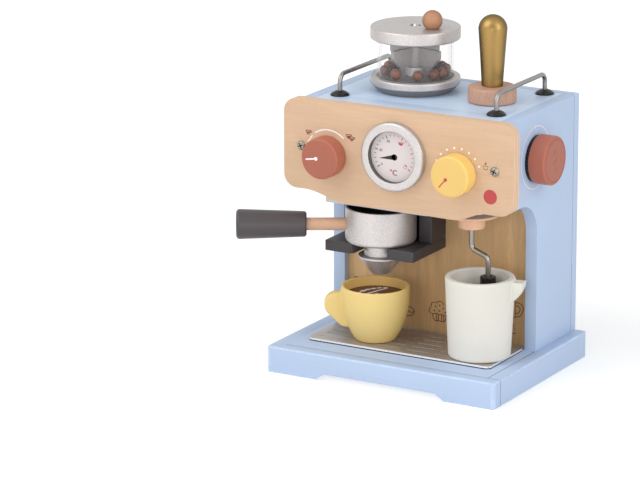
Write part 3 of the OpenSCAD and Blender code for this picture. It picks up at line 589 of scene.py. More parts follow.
def soften(obj, width_of, segments=3, degrees=25, is_seam=None):
    """Rounds each sharp edge to the width that width_of gives for its middle and its direction.

    The rounded strips take the second material, and those that is_seam names the third.
    """
    mesh = obj.data
    weights = mesh.attributes.new("bevel_weight_edge", "FLOAT", "EDGE")
    limit = math.radians(degrees)
    widths = {}
    work = bmesh.new()
    work.from_mesh(mesh)
    for e in work.edges:
        if len(e.link_faces) == 2 and e.calc_face_angle(0) > limit:
            start, stop = e.verts[0].co, e.verts[1].co
            widths[e.index] = width_of((start + stop) / 2, (stop - start).normalized())
    work.free()
    widest = max(widths.values())
    for index, width in widths.items():
        weights.data[index].value = width / widest
    bevel = obj.modifiers.new("Edges", "BEVEL")
    bevel.width = widest
    bevel.segments = segments
    bevel.limit_method = "WEIGHT"
    bevel.harden_normals = False
    bevel.use_clamp_overlap = True
    if len(mesh.materials) > 1:
        bevel.material = EDGE
    apply_all(obj)
    if is_seam:
        share_out(obj, lambda face: SEAM if face.material_index == EDGE and is_seam(face.center)
                  else face.material_index)
    return obj


def rounded(corners, segments=6):
    """Points (radius, height) of an outline whose corners (radius, height, fillet) are rounded."""
    points = []
    last = len(corners) - 1
    for n, (r, h, fillet) in enumerate(corners):
        corner = Vector((r, h))
        if n in (0, last) or not fillet:
            points.append(corner)
            continue
        before = (Vector(corners[n - 1][:2]) - corner).normalized()
        after = (Vector(corners[n + 1][:2]) - corner).normalized()
        half = before.angle(after) / 2
        reach = fillet / math.tan(half)
        middle = corner + (before + after).normalized() * fillet / math.sin(half)
        start, stop = corner + before * reach - middle, corner + after * reach - middle
        swing = start.angle_signed(stop)
        for k in range(segments + 1):
            turn = Matrix.Rotation(-swing * k / segments, 2)
            points.append(middle + turn @ start)
    return [tuple(p) for p in points]


def turned(name, centre, direction, outline, steps=None, closed=True):
    """A piece as from a lathe: its outline of (radius, height) spun round a line through centre."""
    direction = Vector(direction)
    side = direction.orthogonal().normalized()
    points = [Vector(centre) + side * r + direction * h for r, h in outline]
    links = [(k, k + 1) for k in range(len(points) - 1)]
    on_axis = abs(outline[0][0]) < 1e-9 and abs(outline[-1][0]) < 1e-9
    if closed and not on_axis:
        links.append((len(points) - 1, 0))
    obj = named_mesh(name, points, links)
    with Editing(obj):
        bpy.ops.mesh.spin(steps=steps or sizes().turned_steps, angle=FULL_TURN,
                          center=tuple(centre), axis=tuple(direction))
        bpy.ops.mesh.select_all(action="SELECT")
        bpy.ops.mesh.remove_doubles(threshold=2e-6)
        bpy.ops.mesh.normals_make_consistent(inside=False)
    smooth(obj, 38)
    return obj


def rod(name, points, radius, sides=16):
    """A round rod along points, as a polyline curve with thickness, made a mesh."""
    curve = bpy.data.curves.new(name, "CURVE")
    curve.dimensions = "3D"
    curve.bevel_depth = radius
    curve.bevel_resolution = sides // 4
    curve.use_fill_caps = True
    spline = curve.splines.new("POLY")
    spline.points.add(len(points) - 1)
    for target, point in zip(spline.points, points):
        target.co = (*point, 1)
    obj = curve_to_mesh(name, curve)
    with Editing(obj):
        bpy.ops.mesh.remove_doubles(threshold=1e-7)
        bpy.ops.mesh.normals_make_consistent(inside=False)
    smooth(obj, 50)
    return obj


def arc_points(middle, start, normal, degrees, steps):
    """Points on an arc about middle, from start, turning round normal."""
    spoke = Vector(start) - Vector(middle)
    return [Vector(middle) + Matrix.Rotation(math.radians(degrees) * k / steps, 3, normal) @ spoke
            for k in range(steps + 1)]


# ---- Printed marks ----

def flowing(points, steps=5):
    """A smooth line through points."""
    points = [Vector(p) for p in points]
    path = []
    for n in range(len(points) - 1):
        a, b, c, d = (points[min(max(n + k, 0), len(points) - 1)] for k in (-1, 0, 1, 2))
        for t in (k / steps for k in range(steps)):
            path.append((b * 2 + (c - a) * t + (a * 2 - b * 5 + c * 4 - d) * t ** 2
                         + (b * 3 - a - c * 3 + d) * t ** 3) / 2)
    return path + [points[-1]]


class Sheet:
    """A flat place on the object, with its own right, up and outward directions.

    Marks are drawn on it in millimetres to the right and up from its origin.
    """

    def __init__(self, origin, right, up):
        self.origin = Vector(origin)
        self.right = Vector(right)
        self.up = Vector(up)
        self.out = self.right.cross(self.up)
        self.marks = []

    def at(self, u, v):
        return self.origin + (self.right * u + self.up * v) * MM

    def patch(self, outline):
        """A filled outline of (right, up) millimetres."""
        points = [self.at(u, v) for u, v in outline]
        area = sum((points[k] - points[0]).cross(points[k + 1] - points[0]).dot(self.out)
                   for k in range(1, len(points) - 1))
        order = range(len(points)) if area > 0 else range(len(points) - 1, -1, -1)
        self.marks.append(named_mesh("mark", points, (), [tuple(order)]))

    def disc(self, u, v, radius, sides=28):
        self.patch([(u + radius * math.cos(FULL_TURN * k / sides),
                     v + radius * math.sin(FULL_TURN * k / sides)) for k in range(sides)])

    def bowl(self, u, v, half_width, depth):
        """The filled lower half of an oval."""
        self.patch([(u + half_width * math.cos(a), v + depth * math.sin(a))
                    for a in (math.pi + math.pi * k / 12 for k in range(13))])

    def stroke(self, points, width, closed=False):
        """A line of one width through (right, up) points, with square ends."""
        path = [Vector(p) for p in points]
        count = len(path)
        left, right = [], []
        for n in range(count):
            ahead = path[(n + 1) % count] if closed or n < count - 1 else path[n]
            behind = path[n - 1] if closed or n > 0 else path[n]
            way = (ahead - behind).normalized()
            normal = Vector((-way.y, way.x)) * width / 2
            left.append(path[n] + normal)
            right.append(path[n] - normal)
        vertices = [self.at(*p) for p in left + right]
        spans = range(count if closed else count - 1)
        faces = [(n, count + n, count + (n + 1) % count, (n + 1) % count) for n in spans]
        self.marks.append(named_mesh("mark", vertices, (), faces))

    def arc(self, u, v, radius, start, stop, width, steps=24, closed=False):
        count = steps if closed else steps + 1
        self.stroke([(u + radius * math.cos(math.radians(start + (stop - start) * k / steps)),
                      v + radius * math.sin(math.radians(start + (stop - start) * k / steps)))
                     for k in range(count)], width, closed)

    def ring(self, u, v, radius, width, steps=64):
        self.arc(u, v, radius, 0, 360, width, steps, closed=True)

    def figures(self, words, u, v, height):
        """Plain figures, centred on a point."""
        curve = bpy.data.curves.new("figures", "FONT")
        curve.body = words
        curve.size = height / 0.72 * MM
        curve.align_x, curve.align_y = "CENTER", "CENTER"
        curve.resolution_u = 4
        obj = curve_to_mesh("figures", curve)
        place = Matrix((self.right, self.up, self.out)).transposed().to_4x4()
        place.translation = self.at(u, v)
        obj.matrix_world = place
        self.marks.append(settle(obj))

    def print_on(self, name, ink, body="machine"):
        """Joins the marks, gives them the thickness of ink and hands them to the frame."""
        obj = join(name, self.marks)
        self.marks = []
        with Editing(obj):
            bpy.ops.mesh.extrude_region_move(
                TRANSFORM_OT_translate={"value": tuple(self.out * sizes().ink)})
            bpy.ops.mesh.select_all(action="SELECT")
            bpy.ops.mesh.normals_make_consistent(inside=False)
        clothe(obj, shared(ink))
        return place_piece(obj, body, INK_SLOTS[ink])


# ---- Places shared by several pieces ----

def on_box(point, low, high, tolerance=0.8 * MM):
    """On how many faces of a box a point lies."""
    return sum(abs(point[n] - bound[n]) < tolerance for n in range(3) for bound in (low, high))


def whole_box(*nodes):
    lows, highs = zip(*(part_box(node) for node in nodes))
    return (Vector(min(v[n] for v in lows) for n in range(3)),
            Vector(max(v[n] for v in highs) for n in range(3)))


def board(node, finishes, slot, width_of, body="machine", is_seam=None):
    """One board as a softened copy of its node; finishes are for its faces, edges and seams."""
    obj = copied(node, node + "_board")
    clothe(obj, *finishes)
    soften(obj, width_of if callable(width_of) else lambda middle, way: width_of, is_seam=is_seam)
    smooth(obj, 40)
    return place_piece(obj, body, slot, [node])


def face_sheet(node):
    """The flat front of a node as a place for printed marks, measured from the machine's middle."""
    low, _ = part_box(node)
    return Sheet((0, low.y, 0), X, Z)


# ---- Operators: one for each group of pieces ----

class COFFEE_OT_base(bpy.types.Operator):
    """Makes the four boards and the deck of the base"""
    bl_idname = "coffee_machine.base"
    bl_label = "Base"

    def execute(self, context):
        nodes = ("base_front", "base_back", "base_left", "base_right", "base_deck")
        low, high = whole_box(*nodes)
        finishes = (matt_paint("cabinet_paint", colours().cabinet, 0.5, grain_axis=0),
                    worn_and_highlit_paint("cabinet_paint_worn_and_highlit", colours().cabinet, 0.5),
                    seam_paint("cabinet_seam", blued(colours().cabinet)))

        front, left, right = (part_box("base_front")[1].y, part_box("base_left")[1].x,
                              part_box("base_right")[0].x)

        def width_of(middle, way):
            if on_box(middle, low, high) < 2:
                return sizes().seam_edge
            return sizes().corner if abs(way.z) > 0.9 else sizes().outer_edge

        def is_seam(middle):
            at_front = abs(middle.y - front) < MM and middle.x > left
            at_right = abs(middle.x - right) < MM
            return at_front or at_right and middle.z > high.z - MM

        for node in nodes:
            board(node, finishes, "blue_paint", width_of, is_seam=is_seam)
        return {"FINISHED"}


class COFFEE_OT_cabinet(bpy.types.Operator):
    """Makes the walls, the top, the back, the head's floor and the panel behind the bay"""
    bl_idname = "coffee_machine.cabinet"
    bl_label = "Cabinet"

    lip_end: length_property("Lip's end", "Where the lip steps up beside the frother", 24)
    lip_step: length_property("Lip's step", "How far the lip steps up there", 8.5)

    def lip(self):
        """The lip behind the front panel, cut back over the frother's flange."""
        obj = copied("head_lip", "head_lip_stepped")
        low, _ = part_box("head_lip")
        ramp, edge = 4 * MM, 0.8 * MM
        with Editing(obj):
            bpy.ops.mesh.bisect(plane_co=(self.lip_end, 0, 0), plane_no=(1, 0, 0))
        for vertex in obj.data.vertices:
            past = vertex.co.x - self.lip_end
            if past > 1e-5 and vertex.co.z < low.z + self.lip_step:
                vertex.co.z += self.lip_step * min(1, past / ramp)
        paint = matt_paint("lip_paint", colours().lip, 0.35)
        clothe(obj, paint, paint)
        soften(obj, lambda middle, way: edge)
        smooth(obj, 40)
        place_piece(obj, "machine", "lip_grey", ["head_lip"])

    def execute(self, context):
        paint, worn_and_highlit, seam = map(shared, ("cabinet_paint", "cabinet_paint_worn_and_highlit", "cabinet_seam"))
        low, high = whole_box("left_wall", "right_wall", "back_board", "top_board")
        top_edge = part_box("top_board")[1].x
        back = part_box("back_board")[0].y
        edge, slim = sizes().outer_edge * 0.6, sizes().seam_edge
        near = 0.8 * MM

        def wall_width(middle, way):
            inner_top = abs(middle.x) < top_edge + near and middle.z > high.z - near
            joined = (middle.y > back - near, middle.z < low.z + near, middle.y < low.y + near)
            return slim if inner_top or any(joined) else edge

        def wall_seam(middle):
            at_back = middle.x > high.x - MM and (middle.y > back - MM or middle.z < low.z + MM)
            return at_back or middle.z > high.z - MM and abs(middle.x + top_edge) < 1.2 * MM

        for node in ("left_wall", "right_wall"):
            board(node, (paint, worn_and_highlit, seam), "blue_paint", wall_width, is_seam=wall_seam)
        board("back_board", (paint, worn_and_highlit, seam), "blue_paint",
              lambda middle, way: slim if on_box(middle, low, high) < 2 else edge,
              is_seam=lambda middle: middle.y < back + MM and max(middle.z - high.z,
                                                                  middle.x - high.x) > -MM)
        # painted light: the top board's paint is lighter than the walls'
        top_paint_lit = matt_paint("top_paint_lit", colours().top, 0.42)
        board("top_board", (top_paint_lit, top_paint_lit, seam), "blue_top", slim,
              is_seam=lambda middle: middle.x < MM - top_edge or middle.y > back - 1.2 * MM)
        board("head_floor", (paint, seam), "blue_paint", slim)
        self.lip()
        bay = timber("bay_timber", colours().bay, 2, fleck=0.25, figure=1.1, painted_light_left=-0.072)
        board("bay_panel", (bay, bay), "bay_wood", slim)
        return {"FINISHED"}


class COFFEE_OT_bay_drawings(bpy.types.Operator):
    """Prints small line drawings of things from a kitchen low on the bay's panel"""
    bl_idname = "coffee_machine.bay_drawings"
    bl_label = "Bay drawings"

    line: number_property("Line", "Width of a drawn line, mm", 0.75)

    def bean(self, s, u, v, tilt, size):
        turn = Matrix.Rotation(math.radians(tilt), 2)
        oval = [turn @ Vector((size * math.cos(FULL_TURN * k / 28),
                               0.75 * size * math.sin(FULL_TURN * k / 28))) for k in range(28)]
        cleft = [turn @ Vector((size * (k / 7 - 1), 0.2 * size * math.sin(FULL_TURN * k / 14)))
                 for k in range(15)]
        for line, closed in ((oval, True), (cleft, False)):
            s.stroke([(u + p.x, v + p.y) for p in line], self.line, closed)

    def muffin(self, s, u, v):
        for du, dv, r, start, stop in ((-5.9, 3.2, 3.1, 110, 262), (-3.4, 8.2, 3.4, 52, 205),
                                       (2.8, 9.6, 3.8, 5, 158), (8.4, 6.4, 3.7, -25, 95),
                                       (9.3, 2.4, 2.6, -95, 50)):
            s.arc(u + du, v + dv, r, start, stop, self.line, 14)
        s.stroke(flowing([(u - 5.9, v), (u - 3, v + 0.2), (u - 0.4, v + 1), (u + 1.6, v),
                          (u + 4.6, v + 0.4), (u + 6.8, v - 0.3), (u + 9.2, v - 0.1)]), self.line)
        s.stroke(flowing([(u - 5.2, v), (u - 4.3, v - 4.3), (u - 2.2, v - 6.4), (u + 1.2, v - 6.2),
                          (u + 6.2, v - 6.5), (u + 8.6, v - 4.6), (u + 9.4, v)]), self.line)
        for top, foot in ((-0.9, -0.7), (1.4, 1.2), (4.5, 4.3), (6.6, 6.9)):
            s.stroke([(u + top, v + 0.2), (u + foot, v - 6.3)], self.line)
        for du, dv in ((-2.1, 7.6), (2.4, 9.1), (6.5, 6.8), (-3.5, 3.4), (2.4, 3.6), (8.3, 2.9)):
            s.disc(u + du, v + dv, 0.8, 12)

    def mug(self, s, u, v):
        s.stroke([(u - 15, v + 8), (u + 1, v + 8), (u + 0.4, v - 8), (u - 14.4, v - 8)],
                 self.line, True)
        for reach, half in ((8.7, 6.8), (5.4, 3.7)):
            s.stroke(flowing([(u + 0.8, v + half), (u + reach * 0.5, v + half),
                              (u + reach * 0.92, v + half * 0.7), (u + reach, v + half * 0.1),
                              (u + reach * 0.72, v - half * 0.7), (u + reach * 0.35, v - half),
                              (u + 0.7, v - half)]), self.line)

    def pot(self, s, u, v):
        s.stroke([(u - 13, v + 8.5), (u - 2.8, v + 8.5), (u, v), (u - 15.6, v)], self.line, True)
        s.stroke([(u - 10, v + 8.5), (u - 8, v + 11), (u - 6, v + 8.5)], self.line)

    def execute(self, context):
        s = face_sheet("bay_panel")
        self.bean(s, -31, 42.6, 8, 6.0)
        self.bean(s, -88, 65.0, 24, 4.8)
        self.muffin(s, 0, 44)
        self.mug(s, 82, 60.7)
        self.pot(s, 83.2, 37.3)
        s.print_on("bay_drawings", "brown_ink")
        return {"FINISHED"}


class COFFEE_OT_front_panel(bpy.types.Operator):
    """Makes the plywood front, its screws and the marks printed on it"""
    bl_idname = "coffee_machine.front_panel"
    bl_label = "Front panel"

    dot_circle: number_property("Dot circle", "Radius of the row of dots, mm", 23.6)
    belly_left: number_property("Belly, left", "Height of the lower edge at the left, mm", 164.3)
    belly_sag: number_property("Belly's sag", "How much lower the edge lies at the right, mm", 0.9)
    belly_ends: number_property("Belly's ends", "Height of the edge beside the belly, mm", 173.0)
    screw_across: number_property("Screws", "From the middle to a screw, mm", 101.0)
    screw_height: number_property("Screws' height", "Above the table, mm", 214.3)

    def lower_edge(self, x):
        """Height of the panel's lower edge, in millimetres like x."""
        middle = self.belly_left - self.belly_sag * eased((x - 5) / 50)
        inner, outer = (54, 97) if x < 0 else (59, 92)
        return middle + (self.belly_ends - middle) * eased((abs(x) - inner) / (outer - inner))

    def panel(self):
        obj = copied("front_panel", "front_panel_ply")
        bends = (-58, -54, -30, 5, 22, 38, 55, 59)
        with Editing(obj):
            for x in bends:
                bpy.ops.mesh.select_all(action="SELECT")
                bpy.ops.mesh.bisect(plane_co=(x * MM, 0, 0), plane_no=(1, 0, 0))
        for vertex in obj.data.vertices:
            if vertex.co.z / MM < self.belly_ends - 0.02:
                vertex.co.z = MM * self.lower_edge(vertex.co.x / MM)
        clothe(obj, timber("birch_veneer", colours().birch, 0, fleck=0.16, gloss=0.38, figure=0.42),
               ply_edge("birch_edge", colours().birch, 1))
        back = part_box("front_panel")[1].y - 0.02 * MM
        soften(obj, lambda middle, way: sizes().seam_edge if middle.y > back
               else sizes().panel_edge, segments=4, degrees=40)
        share_out(obj, lambda face: abs(face.normal.y) <= 0.93)
        smooth(obj, 40)
        place_piece(obj, "machine", "birch_ply", ["front_panel"])

    def screws(self):
        heads = []
        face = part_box("front_panel")[0].y
        radius, rise = 4.4 * MM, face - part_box("panel_screws")[0].y
        across, height = self.screw_across * MM, self.screw_height * MM
        slot_size = 5.4 * MM, 2.2 * MM, 1.1 * MM
        for side in (-1, 1):
            place = Vector((side * across, face, height))
            outline = rounded([(0, 0, 0), (radius, 0, 0), (radius, rise * 0.25, 0.4 * MM),
                               (radius * 0.72, rise, 1.5 * MM), (0, rise, 0)])
            head = turned("head", place, -Y, outline, 64)
            for turn in (20, 110):
                bpy.ops.object.select_all(action="DESELECT")
                bpy.ops.mesh.primitive_cube_add(size=1, location=place - Y * rise,
                                                rotation=(0, math.radians(turn * side), 0))
                cutter = bpy.context.view_layer.objects.active
                cutter.scale = slot_size
                settle(cutter)
                cut = head.modifiers.new("Recess", "BOOLEAN")
                cut.operation, cut.object, cut.solver = "DIFFERENCE", cutter, "EXACT"
                apply_all(head)
                bpy.data.objects.remove(cutter)
            heads.append(head)
        obj = join("panel_screw_heads", heads)
        smooth(obj, 30)

        # painted shade: the cross-shaped recesses take the black lacquer
        def in_recess(polygon):
            c = polygon.center
            deep = abs(polygon.normal.y) < 0.3 or c.y > face - rise + 0.4 * MM
            return deep and math.hypot(abs(c.x) - across, c.z - height) < 2.9 * MM

        finish_piece(obj, "machine", "screw_steel", "panel_screws",
                     drawn_steel("screw_zinc", (0.33, 0.31, 0.27), 2, 0.3),
                     shared("black_lacquer"), number_of=in_recess)

    def cup_outline(self, s, u, v):
        s.arc(u, v + 0.6, 2.5, 180, 360, 0.5, 14)
        s.stroke([(u - 2.9, v + 0.9), (u + 2.9, v + 0.9)], 0.55)
        s.arc(u + 2.7, v - 0.2, 1.0, -90, 90, 0.45, 8)
        s.stroke([(u - 1.7, v - 2.6), (u + 1.7, v - 2.6)], 0.5)

    def execute(self, context):
        self.panel()
        self.screws()
        s = face_sheet("front_panel")
        knob, right = centre_of("left_knob") / MM, centre_of("right_knob") / MM
        s.arc(knob.x, knob.z, 24.5, 48, 124, 1.1, 28)
        s.arc(knob.x, knob.z, 23.7, 134, 153, 1.1, 8)
        dots = (156, 137, 118, 98.5, 79.6, 60.4, 41.4, 22.3)
        for angle in map(math.radians, dots):
            s.disc(right.x + self.dot_circle * math.cos(angle),
                   right.z + self.dot_circle * math.sin(angle), 1.0, 20)
        s.print_on("face_marks_white", "white_ink")
        s.disc(96.7, 190.0, 6.85, 56)
        cup_signs = ((-93.6, 228.6), (-50.8, 229.6), (-47.4, 227.6))
        for u, v in cup_signs:
            s.bowl(u, v - 0.1, 1.9, 1.8)
        s.print_on("face_marks_red", "red_ink")
        for u, v in cup_signs:
            self.cup_outline(s, u, v)
        s.stroke([(89.0, 218.4), (90.2, 215.0), (93.2, 215.0), (94.4, 218.4)], 0.5, True)
        s.stroke([(91.7, 219.2), (91.7, 221.4)], 0.5)
        s.stroke([(90.6, 220.2), (91.7, 221.6), (92.8, 220.2)], 0.5)
        s.print_on("face_marks_black", "black_ink")
        return {"FINISHED"}


class COFFEE_OT_gauge(bpy.types.Operator):
    """Makes the gauge's ring and dial with its ticks, figures and needle"""
    bl_idname = "coffee_machine.gauge"
    bl_label = "Gauge"

    first: number_property("First tick", "Angle of the first tick", 213.8)
    step: number_property("Tick step", "Angle from tick to tick", 12.46)
    ticks: IntProperty(name="Ticks", description="Number of ticks", default=21)
    black_ticks: IntProperty(name="Black ticks", description="How many are black", default=9)
    opening: number_property("Opening", "Radius inside the ring, mm", 24.25)

    def execute(self, context):
        low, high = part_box("gauge_ring")
        place = Vector((centre_of("gauge_ring").x, high.y, centre_of("gauge_ring").z))
        outer, rise = (high.x - low.x) / 2, high.y - low.y
        inner = self.opening * MM
        ring = turned("gauge_ring_turned", place, -Y, rounded(
            [(inner, 0, 0), (outer, 0, 0), (outer, rise, 2.5 * MM), (inner, rise, 0.7 * MM),
             (inner, 0, 0)])[:-1])
        # painted shade: the inner wall of the ring is a much darker silver
        finish_piece(ring, "machine", "silver_paint", "gauge_ring", shared("speckled_silver"),
                     speckled_metal("ring_inside_shaded", tone(colours().silver, 0.3), 0.6, 0.4, 0.4),
                     number_of=lambda face: (face.center - place).xz.length < inner + 0.15 * MM)
        dial_low, dial_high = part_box("gauge_dial")
        radius, height = dial_high.x - place.x, dial_high.y - dial_low.y
        dial = turned("gauge_dial_plate", Vector((place.x, dial_high.y, place.z)), -Y, rounded(
            [(0, 0, 0), (radius, 0, 0), (radius, height, 0.2 * MM), (0, height, 0)]))
        finish_piece(dial, "machine", "dial_white", "gauge_dial",
                     printed("dial_ground", colours().dial))
        s = Sheet((place.x, dial_low.y, place.z), X, Z)
        self.tick_row(s, range(self.black_ticks))
        pivot, tip = Vector((0.4, -0.8)), Vector((-15.2, -3.1))
        way = (tip - pivot).normalized()
        side = Vector((-way.y, way.x))
        s.patch([pivot - way * 1.2 + side * 2.7, pivot - way * 1.2 - side * 2.7,
                 tip - side * 0.12, tip + side * 0.12])
        s.disc(pivot.x, pivot.y, 3.0, 40)
        for words, u, v in (("0", -12.6, -8.6), ("40", -13.8, 4.4), ("80", -6.0, 13.6)):
            s.figures(words, u, v, 2.6)
        s.print_on("gauge_marks_black", "black_ink")
        self.tick_row(s, range(self.black_ticks, self.ticks))
        for shift in (-0.8, -0.4):
            s.figures("°C", shift, -15.6, 5.2)
        s.bowl(7.0, 13.4, 2.4, 2.4)
        s.stroke([(4.2, 13.9), (10.4, 13.9)], 0.5)
        s.stroke([(11.2, -6.0), (13.6, -7.4), (12.0, -10.4), (9.6, -9.0)], 0.4, True)
        s.disc(12.4, -7.3, 0.8, 14)
        s.print_on("gauge_marks_red", "red_ink")
        return {"FINISHED"}

    def tick_row(self, s, numbers):
        for n in numbers:
            angle = math.radians(self.first - self.step * n)
            way = Vector((math.cos(angle), math.sin(angle)))
            major = n % 4 == 0
            s.stroke([way * (17.6 if major else 18.8), way * 20.6], 0.75 if major else 0.5)


class COFFEE_OT_knobs(bpy.types.Operator):
    """Makes the two front knobs, the side knob with its washer and their marks"""
    bl_idname = "coffee_machine.knobs"
    bl_label = "Knobs"

    edge: length_property("Edge", "Rounding of a knob's face", 2.5)

    def knob(self, node, slot, materials, right, up):
        """Turns a knob and returns its face, for marks, with its right and up directions."""
        low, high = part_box(node)
        centre, direction = (low + high) / 2, right.cross(up)
        height = (high - low).dot(Vector(abs(n) for n in direction))
        radius, hollow = (high.z - low.z) / 2, 0.05 * MM
        obj = turned(node + "_turned", centre - direction * height / 2, direction, rounded(
            [(0, 0, 0), (radius, 0, 1.0 * MM), (radius, height, self.edge),
             (radius * 0.5, height - hollow, 0), (0, height - 0.08 * MM, 0)], 10))
        finish_piece(obj, node + "_turn", slot, node, *materials,
                     number_of=lambda face: face.normal.dot(direction) > 0.8)
        return Sheet(centre + direction * (height / 2 - hollow), right, up)

    def execute(self, context):
        shade = colours().terracotta
        # painted shade: each knob's front face takes a darker copy of its side's paint
        terracotta = (matt_paint("terracotta_side", shade, 0.48, grain_axis=0),
                      matt_paint("terracotta_face_shaded", tone(shade, 0.84), 0.48, grain_axis=0))
        shade = colours().yellow
        lit_less = [c * factor for c, factor in zip(shade, (0.84, 0.83, 0.9))]
        yellow = matt_paint("yellow_side", shade, 0.46), matt_paint("yellow_face_shaded", lit_less, 0.46)
        s = self.knob("left_knob", "terracotta", terracotta, X, Z)
        s.disc(-3.2, 0.2, 1.75, 24)
        s.stroke([(-4.7, 0.0), (-14.0, -1.4)], 1.35)
        s.print_on("left_knob_mark", "white_ink", "left_knob_turn")
        s = self.knob("right_knob", "yellow", yellow, X, Z)
        s.disc(-3.3, -2.7, 1.75, 24)
        s.stroke([(-4.3, -3.85), (-10.2, -10.6)], 1.1)
        s.print_on("right_knob_mark", "red_ink", "right_knob_turn")
        s = self.knob("side_knob", "terracotta", terracotta, Y, Z)
        s.ring(0, 0, 19.8, 0.7)
        s.stroke([(-3.5, -3.2), (3.5, 3.6)], 0.8)
        s.stroke([(-4.6, 6.6), (0.6, 6.6), (-2.0, 10.6)], 0.6, True)
        s.stroke([(0.4, -8.6), (2.0, -6.4)], 0.6)
        s.stroke([(3.2, -8.8), (1.6, -10.6)], 0.6)
        s.print_on("side_knob_mark", "dark_red_ink", "side_knob_turn")
        low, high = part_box("side_washer")
        hole, radius, height = 3.05 * MM, (high.z - low.z) / 2, high.x - low.x
        washer = turned("side_washer_turned", Vector((low.x, *((low + high) / 2).yz)), X, rounded(
            [(hole, 0, 0), (radius, 0, 0), (radius, height, 0.4 * MM), (hole, height, 0),
             (hole, 0, 0)])[:-1])
        finish_piece(washer, "machine", "black_rubber", "side_washer", shared("black_lacquer"))
        ring_height = 213.8 * MM
        s = Sheet((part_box("right_wall")[1].x, centre_of("side_knob").y, ring_height), Y, Z)
        s.ring(0, 0, 29.3, 0.6, 96)
        s.stroke([(-2.0, 27.2), (-2.0, 31.6)], 0.6)
        s.print_on("side_wall_ring", "white_ink")
        return {"FINISHED"}


class COFFEE_OT_tray_and_fork(bpy.types.Operator):
    """Makes the drip tray, the fork and the upright behind the basket"""
    bl_idname = "coffee_machine.tray_and_fork"
    bl_label = "Tray and fork"

    def tray(self):
        low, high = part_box("drip_tray")
        border = 1.5 * MM
        plate = speckled_metal("tray_metal", colours().tray, 0.6, 0.34, 0.2)
        # painted highlight: the rim is a near white, less metallic copy of the tray's metal
        rim = speckled_metal("tray_rim_highlit", (0.86, 0.84, 0.84), 0.35, 0.25, 0.1)
        groove = matt_paint("tray_groove", tone(colours().silver, 0.75), 0.4)

        def inside(p):
            return min(p.x - low.x, high.x - p.x, p.y - low.y, high.y - p.y) > border

        def number_of(face):
            """The grooves, the rim with its painted highlight and the painted shadow line under it;
            the rest stays.
            """
            groove_paint, dark = 2, 3
            wall = abs(face.normal.z) < 0.5
            if inside(face.center) and (face.material_index == EDGE or wall):
                return groove_paint
            # painted shadow: the lowest strip of the tray's sides takes the black lacquer
            if not inside(face.center) and wall:
                return EDGE if face.center.z > low.z + 1.2 * MM else dark
            return face.material_index

        obj = board("drip_tray", (plate, rim), "silver_paint",
                    lambda middle, way: 0.25 * MM if inside(middle) else 0.9 * MM)
        obj.data.materials.append(groove)
        obj.data.materials.append(shared("black_lacquer"))
        with Editing(obj):
            bpy.ops.mesh.bisect(plane_co=(0, 0, low.z + 1.0 * MM), plane_no=(0, 0, 1))
        share_out(obj, number_of)

    def execute(self, context):
        self.tray()
        charcoal = (matt_paint("charcoal_paint", colours().charcoal, 0.48, grain_axis=0),
                    worn_and_highlit_paint("charcoal_paint_worn_and_highlit", colours().charcoal, 0.42))
        for node in ("fork_plate", "fork_block"):
            board(node, charcoal, "fork_black", 0.7 * MM)
        return {"FINISHED"}


class COFFEE_OT_filter_holder(bpy.types.Operator):
    """Turns the basket, the spout, the rod and the grip"""
    bl_idname = "coffee_machine.filter_holder"
    bl_label = "Filter holder"

    handle_angle: number_property("Handle", "Direction of the handle", 210)
    wall: length_property("Wall", "Wall of the basket", 2.7)
    floor: length_property("Floor", "Floor of the basket", 9.0)

    def basket_and_spout(self):
        silver = shared("speckled_silver")
        foot, radius, height = upright("filter_basket")
        inner, floor = radius - self.wall, self.floor
        basket = turned("filter_basket_turned", foot, Z, rounded(
            [(0, 0, 0), (radius, 0, 4 * MM), (radius, height, 0.9 * MM), (inner, height, 0.9 * MM),
             (inner, floor, 2 * MM), (0, floor, 0)], 8))
        # painted shade: the inside of the basket is a nearly black copy of the silver
        finish_piece(basket, "filter_holder", "silver_paint", "filter_basket", silver,
                     matt_paint("basket_inside_shaded", tone(colours().silver, 0.05), 0.6),
                     number_of=lambda face: off_axis(face.center, foot) < inner + 0.2 * MM
                     and face.center.z > foot.z + 4 * MM)
        _, rim, height = upright("filter_spout")
        neck, tip, cone = 15.5 * MM, 9 * MM, 18 * MM
        spout_foot = Vector((foot.x, foot.y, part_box("filter_spout")[0].z))
        spout = turned("filter_spout_turned", spout_foot, Z, rounded(
            [(0, 0, 0), (tip, 0, 3 * MM), (rim, cone - 1.6 * MM, 0.8 * MM), (rim, cone, 0.7 * MM),
             (neck, cone + 0.4 * MM, 1.2 * MM), (neck, height, 0), (0, height, 0)]))
        finish_piece(spout, "filter_holder", "silver_paint", "filter_spout", silver)
        return foot, radius

    def execute(self, context):
        foot, radius = self.basket_and_spout()
        way = Matrix.Rotation(math.radians(self.handle_angle), 3, "Z") @ X
        middle = Vector((foot.x, foot.y, centre_of("filter_rod").z))
        rod_radius, rod_start, rod_end = 6 * MM, radius - 1.3 * MM, radius + 55 * MM
        beech = timber("rod_beech", colours().beech, 0, fleck=0.35, figure=0.4)
        finish_piece(turned("filter_rod_turned", middle, way, [
            (0, rod_start), (rod_radius, rod_start), (rod_radius, rod_end), (0, rod_end)], 64),
                     "filter_holder", "beech", "filter_rod", beech)
        start, length, bore = radius + 36 * MM, 66 * MM, 6.05 * MM
        grip = turned("filter_grip_turned", middle + way * start, way, rounded(
            [(bore, 18 * MM, 0), (bore, 0, 0.3 * MM), (12 * MM, 0, 2.6 * MM),
             (14.25 * MM, length, 3.2 * MM), (0, length, 0)], 8), closed=False)
        finish_piece(grip, "filter_holder", "grip_dark", "filter_grip",
                     matt_paint("grip_paint", colours().grip, 0.4, grain_axis=0))
        return {"FINISHED"}


